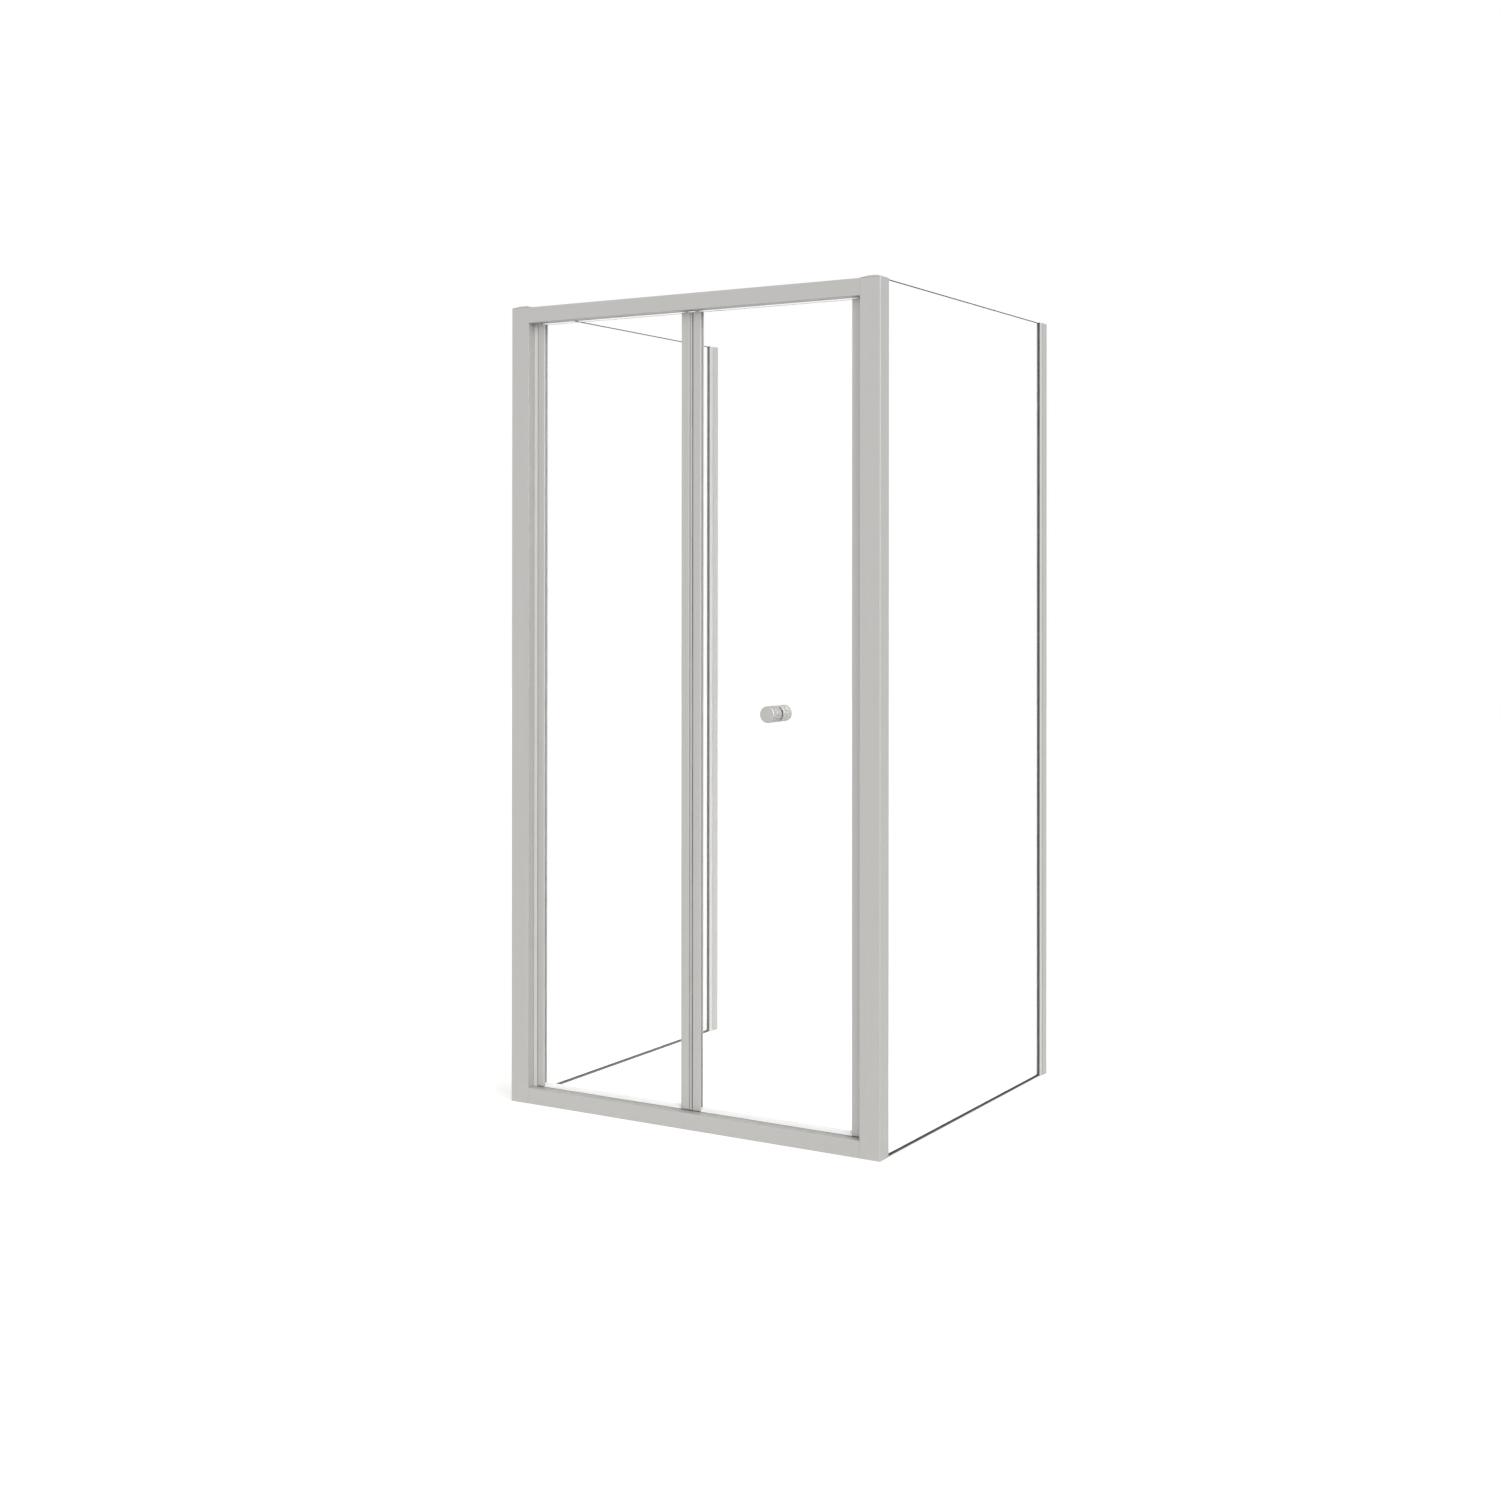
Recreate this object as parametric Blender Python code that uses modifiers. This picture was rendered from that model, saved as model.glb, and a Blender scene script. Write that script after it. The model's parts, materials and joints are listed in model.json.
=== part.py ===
"""Three-sided shower enclosure with an inward-folding bi-fold door between two framed corner posts.

Metres, +Z up. X runs along the door, Y from the door (front) to the wall. The origin is the middle of
the floor under the whole object, knob included.
"""

import math

import bmesh
import bpy

MM = 0.001

# Overall sizes
WIDTH = 990 * MM
DEPTH = 916 * MM
HEIGHT = 1902 * MM
GLASS = 5 * MM
SEAT_GAP = 0.3 * MM

# Corner posts and their caps
POST_WIDTH = 50 * MM
POST_DEPTH = 41 * MM
POST_WALL = 2 * MM
POST_EDGE = 1.5 * MM
JOINT_EDGE = 0.4 * MM
LIP_EDGE = 1 * MM
CAP_RISE = 6 * MM
CAP_RIM = 0.4 * MM
CAP_FLANK = (19 * MM, 15 * MM)
CAP_SWELL = 1.4
CAP_SOFTENING = 2 * MM
CAP_PLUG = 12 * MM

# Top rail and bottom rail, one section used both ways up
RAIL_HEIGHT = 38 * MM
RAIL_WALL = 2 * MM
RAIL_EDGE = 1.8 * MM
TRACK_WIDTH = 15 * MM
TRACK_HEIGHT = 18 * MM
LIP_RELIEF = 2 * MM
PORT_WALL = 1.6 * MM
PORT_WEB = 2.4 * MM
REAR_ROOF = 2.5 * MM

# Screws
SCREW_RADIUS = 2.1 * MM
SCREW_LENGTH = 22 * MM
SCREW_HEAD_RADIUS = 4 * MM
SCREW_HEAD_HEIGHT = 2.4 * MM
SCREW_TIP = 1 * MM
HOLE_EASE = 0.35 * MM

# Side panels
SLOT_LIP = 1.4 * MM
GASKET_LEG = 1 * MM
GASKET_FLANGE = 1.2 * MM
POST_BITE = 12 * MM
PROFILE_REACH = 40 * MM
PROFILE_DEPTH = 30 * MM
PROFILE_BITE = 22 * MM
CHANNEL_DEPTH = 24 * MM
CHANNEL_WALL = 1.4 * MM
CHANNEL_BACK = 2 * MM
FIXING_RADIUS = 2.5 * MM
FIXING_END = 200 * MM
BOTTOM_SEAL = 3 * MM
ARRIS = 1.7 * MM

# Door leaves
DOOR_RECESS = 22 * MM
STILE_DEPTH = 16 * MM
STILE_EDGE = 3 * MM
STILE_RIM = 1.3 * MM
STILE_WALL = 1.6 * MM
NOSE_CROWN = 1 * MM
END_STILE_WIDTH = 23.5 * MM
HINGE_STILE_WIDTH = 22 * MM
JAMB_WIDTH = 7 * MM
JAMB_LIP = 0.4 * MM
END_CLEARANCE = 2 * MM
GLASS_BITE = 5 * MM
PLUG_LENGTH = 25 * MM
CAP_PLATE = 1.2 * MM

# Centre hinge and its seal
KNUCKLE_RADIUS = 3 * MM
KNUCKLE_EASE = 1 * MM
KNUCKLE_SPLIT = 1 * MM
KNUCKLES = 7
ROD_RADIUS = 1.5 * MM
HINGE_SETBACK = 0.9 * MM
HINGE_FOOT = 2.2 * MM
FOOT_SETBACK = 3.4 * MM
FOOT_BITE = 5 * MM
ARM_INSET = 0.2 * MM
SEAL_WALL = 1 * MM
SEAL_DEPTH = 6 * MM

# Pivot pins, guide pins and rollers
PIN_RADIUS = 2.5 * MM
PIN_REACH = 13 * MM
PIVOT_SEAT = 0.5 * MM
PIVOT_BLOCK = 34 * MM
PIVOT_BLOCK_HEIGHT = 14 * MM
PIVOT_SCREW_OFFSET = 11 * MM
ROLLER_RADIUS = 6.7 * MM
ROLLER_HEIGHT = 8 * MM
ROLLER_LIFT = 5 * MM
COLLAR_RADIUS = 3.8 * MM
COLLAR_HEIGHT = 1.4 * MM

# Closing edge
STRIKE_GAP = 1.2 * MM
MAGNET_WIDTH = 6 * MM
MAGNET_DEPTH = 3.4 * MM
MAGNET_SEAT = 2.4 * MM

# Drip seals under the leaves
SEAL_BASE = 1.4 * MM
SEAL_LEG = 7 * MM
SEAL_DROP = 1 * MM
DRIP_REACH = 5 * MM
FRONT_REACH = 3.5 * MM

# Knobs
KNOB_RADIUS = 18.5 * MM
KNOB_LENGTH = 36 * MM
KNOB_EDGE = 2.5 * MM
KNOB_BACK_EDGE = 1.5 * MM
KNOB_GROOVE_SHARE = 0.46
KNOB_GROOVE = 0.8 * MM
KNOB_STANDOFF = 6 * MM
NECK_RADIUS = 12.5 * MM
WASHER_RADIUS = 15.5 * MM
WASHER = 1.5 * MM
STUD_RADIUS = 3 * MM
STUD_BITE = 14 * MM
GLASS_HOLE_RADIUS = 6 * MM

# Facets and cuts
ARC_STEPS = 5
CROWN_STEPS = 12
NOSE_STEPS = 10
ROUND_STEPS = 32
SMALL_STEPS = 16
CUT_OVERRUN = 2 * MM
WELD = 0.01 * MM

# Where the main parts meet
FRAME_HEIGHT = HEIGHT - CAP_RISE
MID_HEIGHT = FRAME_HEIGHT / 2
HALF_WIDTH = WIDTH / 2
POST_FACE = HALF_WIDTH - POST_WIDTH
DOOR_LINE = DOOR_RECESS + STILE_DEPTH / 2
TRACK_FRONT = DOOR_LINE - TRACK_WIDTH / 2
TRACK_BACK = DOOR_LINE + TRACK_WIDTH / 2
RAIL_DEPTH = TRACK_BACK + RAIL_WALL
RAIL_LENGTH = 2 * (POST_FACE - SEAT_GAP)
TRACK_CEILING = FRAME_HEIGHT - RAIL_HEIGHT + TRACK_HEIGHT
KNOB_REACH = KNOB_STANDOFF + KNOB_LENGTH - DOOR_LINE
FRONT = KNOB_REACH - (DEPTH + KNOB_REACH) / 2
DOOR_Y = FRONT + DOOR_LINE
HINGE_Y = FRONT + DOOR_RECESS + HINGE_SETBACK
SCREW_Y = FRONT + TRACK_FRONT / 2

# Side panels in their slots
SLOT_WIDTH = GLASS + 2 * GASKET_LEG + 4 * SEAT_GAP
SLOT_BASE = GASKET_LEG + 2 * SEAT_GAP
PANEL_LINE = SLOT_LIP + SLOT_WIDTH / 2
PROFILE_WIDTH = SLOT_WIDTH + 2 * SLOT_LIP
PROFILE_MOUTH = DEPTH - PROFILE_REACH
CHANNEL_MOUTH = DEPTH - CHANNEL_DEPTH
CHANNEL_HALF = PROFILE_WIDTH / 2 + SEAT_GAP + CHANNEL_WALL
PANEL_FRONT = POST_DEPTH - POST_BITE
PANEL_BACK = PROFILE_MOUTH + PROFILE_BITE
PANEL_TOP = FRAME_HEIGHT - SEAT_GAP
PANEL_BOTTOM = BOTTOM_SEAL + SEAT_GAP

# Leaves, mirrored about the centre gap
CENTRE_GAP = 2 * (KNUCKLE_RADIUS + KNUCKLE_EASE)
LEAF_EDGE = POST_FACE - JAMB_WIDTH
LEAF_WIDTH = LEAF_EDGE - CENTRE_GAP / 2
LEAF_BOTTOM = RAIL_HEIGHT + END_CLEARANCE
LEAF_TOP = FRAME_HEIGHT - RAIL_HEIGHT - END_CLEARANCE
LEAF_HEIGHT = LEAF_TOP - LEAF_BOTTOM
PANE_BOTTOM = LEAF_BOTTOM + SEAL_BASE + SEAT_GAP
STILE_SLOT = GLASS_BITE + SLOT_BASE
STILE_HALF = STILE_DEPTH / 2
CHAMBER_HALF = STILE_HALF - STILE_WALL * 3 / 2

# Joint axes
NOSE_RADIUS = STILE_HALF + NOSE_CROWN
NOSE_ANGLE = math.degrees(math.asin(STILE_HALF / NOSE_RADIUS))
PIVOT_X = NOSE_RADIUS - LEAF_EDGE
GUIDE_X = LEAF_EDGE - NOSE_RADIUS
KNOB_X = (CENTRE_GAP / 2 + HINGE_STILE_WIDTH + LEAF_EDGE - END_STILE_WIDTH) / 2

# Chambers of the stiles, measured from each stile's outer edge
PIN_CHAMBER_START = NOSE_RADIUS - PIN_RADIUS - 2 * SEAT_GAP
PIN_CHAMBER_END = END_STILE_WIDTH - STILE_SLOT - STILE_WALL
HINGE_CHAMBER_START = FOOT_BITE + SEAT_GAP + STILE_WALL
HINGE_CHAMBER_END = HINGE_STILE_WIDTH - STILE_SLOT - STILE_WALL

# Roller and its collars, measured from the leaf's end
ROLLER_FOOT = END_CLEARANCE + ROLLER_LIFT
ROLLER_HEAD = ROLLER_FOOT + ROLLER_HEIGHT
GUIDE_REACH = ROLLER_HEAD + SEAT_GAP + COLLAR_HEIGHT
STRIKE_FACE = LEAF_EDGE + STRIKE_GAP

FLAT = (0, 0, 0)
UPSIDE_DOWN = (math.pi, 0, 0)
ALONG_X = (math.pi / 2, 0, math.pi / 2)
FACING_FRONT = (math.pi / 2, 0, 0)
FACING_BACK = (-math.pi / 2, 0, 0)
SHARP = math.radians(30)

for old in list(bpy.data.objects):
    bpy.data.objects.remove(old, do_unlink=True)

PARTS = bpy.data.collections.new("shower_enclosure")
CUTTERS = bpy.data.collections.new("cutters")
for collection in (PARTS, CUTTERS):
    bpy.context.scene.collection.children.link(collection)


def finish(colour, roughness, metallic=0.0, alpha=1.0):
    """What a surface looks like: colour, roughness, metal and opacity."""
    return {"Base Color": (*colour, 1), "Roughness": roughness, "Metallic": metallic, "Alpha": alpha}


SATIN = finish((0.56, 0.55, 0.54), 0.42, metallic=0.9)
STEEL = finish((0.6, 0.6, 0.6), 0.3, metallic=1.0)
CLEAR = finish((0.93, 0.97, 0.96), 0.02, alpha=0.25)
CLEAR_VINYL = finish((0.85, 0.86, 0.86), 0.2, alpha=0.5)
DARK_RUBBER = finish((0.06, 0.06, 0.06), 0.6)
PALE_VINYL = finish((0.68, 0.68, 0.67), 0.45)
GREY_NYLON = finish((0.3, 0.3, 0.3), 0.4)


# Outlines


def arc(centre, radius, start, end, steps=ARC_STEPS):
    """Points on an arc, angles in degrees, both ends included."""
    turns = [math.radians(start + (end - start) * i / steps) for i in range(steps + 1)]
    return [(centre[0] + radius * math.cos(a), centre[1] + radius * math.sin(a)) for a in turns]


def circle(centre, radius, steps=ROUND_STEPS):
    return arc(centre, radius, 0, 360, steps)[:-1]


def rectangle(x0, x1, y0, y1, radii=None):
    """A rectangle, with a radius for each corner where they are given, anticlockwise from (x0, y0)."""
    corners = ((x0, y0), (x1, y0), (x1, y1), (x0, y1))
    if not radii:
        return list(corners)
    points = []
    for (x, y), radius, start in zip(corners, radii, (180, 270, 0, 90)):
        centre = (x + math.copysign(radius, x0 + x1 - 2 * x), y + math.copysign(radius, y0 + y1 - 2 * y))
        points += arc(centre, radius, start, start + 90)
    return points


def sided(points, side):
    """An outline whose x points inward from the left (-1) or from the right (+1)."""
    return [(-side * x, y) for x, y in points]


def upright(height, upper):
    """A height in the top half, or its mirror image about mid-height."""
    return height if upper else 2 * MID_HEIGHT - height


def rising(low, high, upper):
    """Two heights of the top half, or their mirror images, lower one first."""
    return sorted((upright(low, upper), upright(high, upper)))


# Making and placing pieces


def placed(mesh, place=(0, 0, 0), turn=FLAT, collection=PARTS):
    obj = bpy.data.objects.new("piece", mesh)
    collection.objects.link(obj)
    obj.location = place
    obj.rotation_euler = turn
    bpy.context.view_layer.update()
    return obj


def evaluated_mesh(obj):
    graph = bpy.context.evaluated_depsgraph_get()
    return bpy.data.meshes.new_from_object(obj.evaluated_get(graph))


def extrusion(loops, length, place, turn=FLAT):
    """A straight section through an outline and its holes, with place at the middle of its length."""
    curve = bpy.data.curves.new("section", "CURVE")
    curve.dimensions = "2D"
    curve.fill_mode = "BOTH"
    curve.extrude = length / 2
    for loop in loops:
        spline = curve.splines.new("POLY")
        spline.points.add(len(loop) - 1)
        for point, (x, y) in zip(spline.points, loop):
            point.co = (x, y, 0, 1)
        spline.use_cyclic_u = True
    drawn = placed(curve, place, turn)
    mesh = evaluated_mesh(drawn)
    weld(mesh)
    obj = bpy.data.objects.new("piece", mesh)
    PARTS.objects.link(obj)
    obj.matrix_world = drawn.matrix_world
    bpy.data.objects.remove(drawn, do_unlink=True)
    bpy.context.view_layer.update()
    return obj


def weld(mesh):
    """Joins an extrusion's ends to its sides, with every face turned outward."""
    cage = bmesh.new()
    cage.from_mesh(mesh)
    bmesh.ops.remove_doubles(cage, verts=cage.verts, dist=WELD)
    bmesh.ops.recalc_face_normals(cage, faces=cage.faces)
    cage.to_mesh(mesh)
    cage.free()
    mesh.shade_smooth()
    mesh.set_sharp_from_angle(angle=SHARP)


def block(low, high, edge=0):
    """A box between two corners, with its edges bevelled where an edge is given."""
    mesh = bpy.data.meshes.new("block")
    cage = bmesh.new()
    bmesh.ops.create_cube(cage, size=1)
    bmesh.ops.scale(cage, vec=[b - a for a, b in zip(low, high)], verts=cage.verts)
    cage.to_mesh(mesh)
    cage.free()
    obj = placed(mesh, [(a + b) / 2 for a, b in zip(low, high)])
    if edge:
        arris = obj.modifiers.new("arris", "BEVEL")
        arris.width = edge
        arris.segments = 1
    return obj


def turned(profile, place, turn=FLAT, steps=ROUND_STEPS, collection=PARTS):
    """A turned piece from (radius, height) points that run down its outer side."""
    mesh = bpy.data.meshes.new("profile")
    cage = bmesh.new()
    points = [cage.verts.new((radius, 0, height)) for radius, height in profile]
    for a, b in zip(points, points[1:]):
        cage.edges.new((a, b))
    if profile[0][0]:
        cage.edges.new((points[-1], points[0]))
    cage.to_mesh(mesh)
    cage.free()
    obj = placed(mesh, place, turn, collection)
    screw = obj.modifiers.new("turning", "SCREW")
    screw.steps = steps
    screw.render_steps = steps
    screw.use_merge_vertices = True
    screw.merge_threshold = WELD
    screw.use_smooth_shade = True
    return obj


def rod(radius, length, place, turn=FLAT, steps=ROUND_STEPS, collection=PARTS):
    """A plain round bar with place at its middle."""
    half = length / 2
    profile = [(0, half), (radius, half), (radius, -half), (0, -half)]
    return turned(profile, place, turn, steps, collection)


def boolean(obj, other, operation):
    other.hide_render = True
    other.display_type = "WIRE"
    change = obj.modifiers.new(operation.lower(), "BOOLEAN")
    change.operation = operation
    change.solver = "EXACT"
    change.object = other


def drilled(obj, name, radius, depth, place, turn=FLAT):
    """Drills a round hole through a wall of the given depth, centred on place."""
    drill = rod(radius, depth + 2 * CUT_OVERRUN, place, turn, SMALL_STEPS, CUTTERS)
    drill.name = name
    boolean(obj, drill, "DIFFERENCE")


def fused(base, *others):
    """One solid from overlapping bodies."""
    for other in others:
        boolean(base, other, "UNION")
    bpy.context.view_layer.update()
    mesh = evaluated_mesh(base)
    base.modifiers.clear()
    base.data = mesh
    for other in others:
        bpy.data.objects.remove(other, do_unlink=True)
    return base


def named(obj, name, look, carrier=None):
    """Names a piece, gives it its own material and hangs it on its carrier where it stands."""
    obj.name = name
    obj.data.name = name
    material = bpy.data.materials.new(name)
    material.use_nodes = True
    shader = material.node_tree.nodes["Principled BSDF"]
    for socket, value in look.items():
        shader.inputs[socket].default_value = value
    material.diffuse_color = look["Base Color"]
    obj.data.materials.clear()
    obj.data.materials.append(material)
    if carrier:
        obj.parent = carrier
        obj.matrix_parent_inverse = carrier.matrix_world.inverted()


def axis(name, place, carrier=None):
    """An empty on a joint's axis, which carries everything that turns about it."""
    empty = bpy.data.objects.new(name, None)
    PARTS.objects.link(empty)
    empty.location = place
    bpy.context.view_layer.update()
    if carrier:
        empty.parent = carrier
        empty.matrix_parent_inverse = carrier.matrix_world.inverted()
        bpy.context.view_layer.update()
    return empty


# Corner posts and caps


def post_section():
    """A hollow section with a slot in its outer rear corner that takes the side glass."""
    slot_end = SLOT_LIP + SLOT_WIDTH
    slot_floor = PANEL_FRONT - SLOT_BASE
    outer = arc((POST_EDGE, POST_EDGE), POST_EDGE, 180, 270)
    outer += arc((POST_WIDTH - JOINT_EDGE, JOINT_EDGE), JOINT_EDGE, 270, 360)
    outer += [(POST_WIDTH, POST_DEPTH), (slot_end, POST_DEPTH), (slot_end, slot_floor)]
    outer += [(SLOT_LIP, slot_floor), (SLOT_LIP, POST_DEPTH)]
    outer += arc((LIP_EDGE, POST_DEPTH - LIP_EDGE), LIP_EDGE, 90, 180)
    step = (slot_end + POST_WALL, slot_floor - POST_WALL)
    far = (POST_WIDTH - POST_WALL, POST_DEPTH - POST_WALL)
    chamber = [(POST_WALL, POST_WALL), (far[0], POST_WALL), far]
    chamber += [(step[0], far[1]), step, (POST_WALL, step[1])]
    return outer, chamber


def corner_post(side, name):
    loops = [sided(loop, side) for loop in post_section()]
    post = extrusion(loops, FRAME_HEIGHT, (side * HALF_WIDTH, FRONT, MID_HEIGHT))
    wall_middle = side * (POST_FACE + POST_WALL / 2)
    for upper, end in ((True, "top"), (False, "bottom")):
        spot = (wall_middle, SCREW_Y, upright(FRAME_HEIGHT - RAIL_HEIGHT / 2, upper))
        drilled(post, f"{name}_{end}_hole", SCREW_RADIUS + HOLE_EASE, POST_WALL, spot, ALONG_X)
    named(post, name, SATIN)


def post_cap(side, name):
    """A crowned cap with a plug that drops into the post's chamber."""
    low = FRAME_HEIGHT + SEAT_GAP
    x_flank, y_flank = CAP_FLANK
    rise = HEIGHT - low - CAP_RIM
    rings = [(0, low)]
    for step in range(CROWN_STEPS + 1):
        share = step / CROWN_STEPS
        rings.append((share, low + CAP_RIM + rise * math.sin(math.pi / 2 * share) ** CAP_SWELL))
    mesh = bpy.data.meshes.new("crown")
    cage = bmesh.new()
    loops = []
    for inset, height in rings:
        x0, y0 = inset * x_flank, inset * y_flank
        soft = inset * CAP_SOFTENING
        radii = [edge + soft for edge in (POST_EDGE, JOINT_EDGE, JOINT_EDGE, LIP_EDGE)]
        outline = rectangle(x0, POST_WIDTH - x0, y0, POST_DEPTH - y0, radii)
        loops.append([cage.verts.new((x, y, height)) for x, y in sided(outline, side)])
    for lower, upper in zip(loops, loops[1:]):
        for i, corner in enumerate(lower):
            cage.faces.new((lower[i - 1], corner, upper[i], upper[i - 1]))
    cage.faces.new(loops[0])
    cage.faces.new(loops[-1])
    cage.to_mesh(mesh)
    cage.free()
    weld(mesh)
    crown = placed(mesh, (side * HALF_WIDTH, FRONT, 0))
    _, chamber = post_section()
    ease = 2 * SEAT_GAP
    plug_x = sorted(side * (HALF_WIDTH - x) for x in (chamber[3][0] + ease, chamber[2][0] - ease))
    plug_y = (FRONT + chamber[1][1] + ease, FRONT + chamber[2][1] - ease)
    plug_low = (plug_x[0], plug_y[0], FRAME_HEIGHT - CAP_PLUG)
    plug = block(plug_low, (plug_x[1], plug_y[1], low + CAP_RIM / 2))
    named(fused(crown, plug), name, SATIN)


# Rails and what joins them to the posts


def rail_section(upper):
    """A boxed front with a screw port, and a roller track behind it; x is depth and y is height."""
    outer = arc((RAIL_EDGE, RAIL_EDGE), RAIL_EDGE, 180, 270)
    outer += [(TRACK_FRONT, 0), (TRACK_FRONT, TRACK_HEIGHT), (TRACK_BACK, TRACK_HEIGHT)]
    outer += [(TRACK_BACK, LIP_RELIEF), (RAIL_DEPTH, LIP_RELIEF), (RAIL_DEPTH, RAIL_HEIGHT)]
    outer += arc((RAIL_EDGE, RAIL_HEIGHT - RAIL_EDGE), RAIL_EDGE, 90, 180)
    port = (TRACK_FRONT / 2, RAIL_HEIGHT / 2)
    bore = SCREW_RADIUS + HOLE_EASE
    boss = bore + PORT_WALL
    web = math.degrees(math.asin(PORT_WEB / 2 / boss))
    web_low = port[1] - PORT_WEB / 2
    back = TRACK_FRONT - RAIL_WALL
    chamber = [(RAIL_WALL, RAIL_WALL), (back, RAIL_WALL), (back, web_low)]
    chamber += arc(port, boss, -web, web - 180, NOSE_STEPS) + [(RAIL_WALL, web_low)]
    above = [(x, RAIL_HEIGHT - y) for x, y in chamber]
    over_track = rectangle(TRACK_FRONT, TRACK_BACK, TRACK_HEIGHT + RAIL_WALL, RAIL_HEIGHT - REAR_ROOF)
    loops = [outer, chamber, above, circle(port, bore, SMALL_STEPS), over_track]
    if upper:
        return loops
    return [[(x, RAIL_HEIGHT - y) for x, y in loop] for loop in loops]


def rail(upper, name):
    base = FRAME_HEIGHT - RAIL_HEIGHT if upper else 0
    bar = extrusion(rail_section(upper), RAIL_LENGTH, (0, FRONT, base), ALONG_X)
    spot = (PIVOT_X + PIVOT_SCREW_OFFSET, DOOR_Y, upright(TRACK_CEILING + RAIL_WALL / 2, upper))
    drilled(bar, f"{name}_block_hole", SCREW_RADIUS + HOLE_EASE, RAIL_WALL, spot)
    named(bar, name, SATIN)


def screw(name, length, place, turn):
    """A pan-head screw, seated at place with its head on the side that it faces."""
    dome = SCREW_HEAD_HEIGHT / 2
    profile = [(0, SCREW_HEAD_HEIGHT)] + arc((SCREW_HEAD_RADIUS - dome, dome), dome, 90, 0)
    profile += [(SCREW_HEAD_RADIUS, 0), (SCREW_RADIUS, 0), (SCREW_RADIUS, SCREW_TIP - length)]
    profile += [(SCREW_RADIUS - SCREW_TIP, -length), (0, -length)]
    named(turned(profile, place, turn, SMALL_STEPS), name, STEEL)


def corner_screw(side, upper, name):
    """A screw from inside the post into the rail's screw port."""
    seat = side * (POST_FACE + POST_WALL + SEAT_GAP)
    height = upright(FRAME_HEIGHT - RAIL_HEIGHT / 2, upper)
    screw(name, SCREW_LENGTH, (seat, SCREW_Y, height), (0, side * math.pi / 2, 0))


# Side panels


def side_slab(side, low, high, width):
    """Corners of a slab on a side panel's line between two (depth, height) corners."""
    x0, x1 = sorted(side * (HALF_WIDTH - PANEL_LINE + step * width / 2) for step in (-1, 1))
    return (x0, FRONT + low[0], low[1]), (x1, FRONT + high[0], high[1])


def side_glass(side, name):
    corners = side_slab(side, (PANEL_FRONT, PANEL_BOTTOM), (PANEL_BACK, PANEL_TOP), GLASS)
    named(block(*corners, ARRIS), name, CLEAR)


def side_bottom_seal(side, name):
    """The strip that a side glass stands on."""
    corners = side_slab(side, (PANEL_FRONT, 0), (PANEL_BACK, BOTTOM_SEAL), GLASS)
    named(block(*corners), name, DARK_RUBBER)


def side_gasket(side, loop, name, look):
    place = (side * HALF_WIDTH, FRONT, (PANEL_TOP + PANEL_BOTTOM) / 2)
    named(extrusion([sided(loop, side)], PANEL_TOP - PANEL_BOTTOM, place), name, look)


def post_gasket(side, name):
    """Wraps the front edge of the glass and ends level with the post's back."""
    inner = GLASS / 2 + SEAT_GAP
    outer = inner + GASKET_LEG
    web = PANEL_FRONT - SEAT_GAP
    edge = [(outer, POST_DEPTH), (outer, web - GASKET_LEG)]
    lining = [(inner, web), (inner, POST_DEPTH)]
    side_gasket(side, gasket_loop(edge, lining), name, PALE_VINYL)


def wall_gasket(side, name):
    """Wraps the rear edge of the glass, with flanges that cover the glass profile's front edges."""
    inner = GLASS / 2 + SEAT_GAP
    outer = inner + GASKET_LEG
    rim = PROFILE_WIDTH / 2
    mouth = PROFILE_MOUTH - SEAT_GAP
    face = mouth - GASKET_FLANGE
    web = PANEL_BACK + SEAT_GAP
    edge = [(rim, face), (rim, mouth), (outer, mouth), (outer, web + GASKET_LEG)]
    lining = [(inner, web), (inner, face)]
    side_gasket(side, gasket_loop(edge, lining), name, DARK_RUBBER)


def gasket_loop(edge, lining):
    """A channel's outline from one half of its outside and of its lining, as (offset, depth)."""
    near = [(PANEL_LINE + x, y) for x, y in edge]
    far = [(PANEL_LINE - x, y) for x, y in reversed(edge)]
    far_lining = [(PANEL_LINE - x, y) for x, y in reversed(lining)]
    near_lining = [(PANEL_LINE + x, y) for x, y in lining]
    return near + far + far_lining + near_lining


def channel_section(side, half, slot_half, mouth, floor, back):
    """An upright channel round the side panel's line, open to the front."""
    edge = [(half, mouth), (half, back)]
    lining = [(slot_half, floor), (slot_half, mouth)]
    outline = sided(gasket_loop(edge, lining), side)
    return extrusion([outline], FRAME_HEIGHT, (side * HALF_WIDTH, FRONT, MID_HEIGHT))


def glass_profile(side, name):
    """A profile on the rear edge of the glass, which slides in the wall channel to fit the wall."""
    back = PROFILE_MOUTH + PROFILE_DEPTH
    half = PROFILE_WIDTH / 2
    named(channel_section(side, half, half - SLOT_LIP, PROFILE_MOUTH, back - SLOT_LIP, back), name, SATIN)


def wall_channel(side, name):
    """A channel that is screwed to the wall and takes the glass profile."""
    floor = DEPTH - CHANNEL_BACK
    slot_half = CHANNEL_HALF - CHANNEL_WALL
    channel = channel_section(side, CHANNEL_HALF, slot_half, CHANNEL_MOUTH, floor, DEPTH)
    x = side * (HALF_WIDTH - PANEL_LINE)
    heights = {"lower": FIXING_END, "middle": MID_HEIGHT, "upper": FRAME_HEIGHT - FIXING_END}
    for word, height in heights.items():
        spot = (x, FRONT + DEPTH - CHANNEL_BACK / 2, height)
        drilled(channel, f"{name}_{word}_hole", FIXING_RADIUS, CHANNEL_BACK, spot, FACING_FRONT)
    named(channel, name, SATIN)


# Jambs at both ends of the door


def jamb(outline, name, look):
    length = FRAME_HEIGHT - 2 * RAIL_HEIGHT - 2 * SEAT_GAP
    named(extrusion([outline], length, (0, DOOR_Y, MID_HEIGHT)), name, look)


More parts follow.
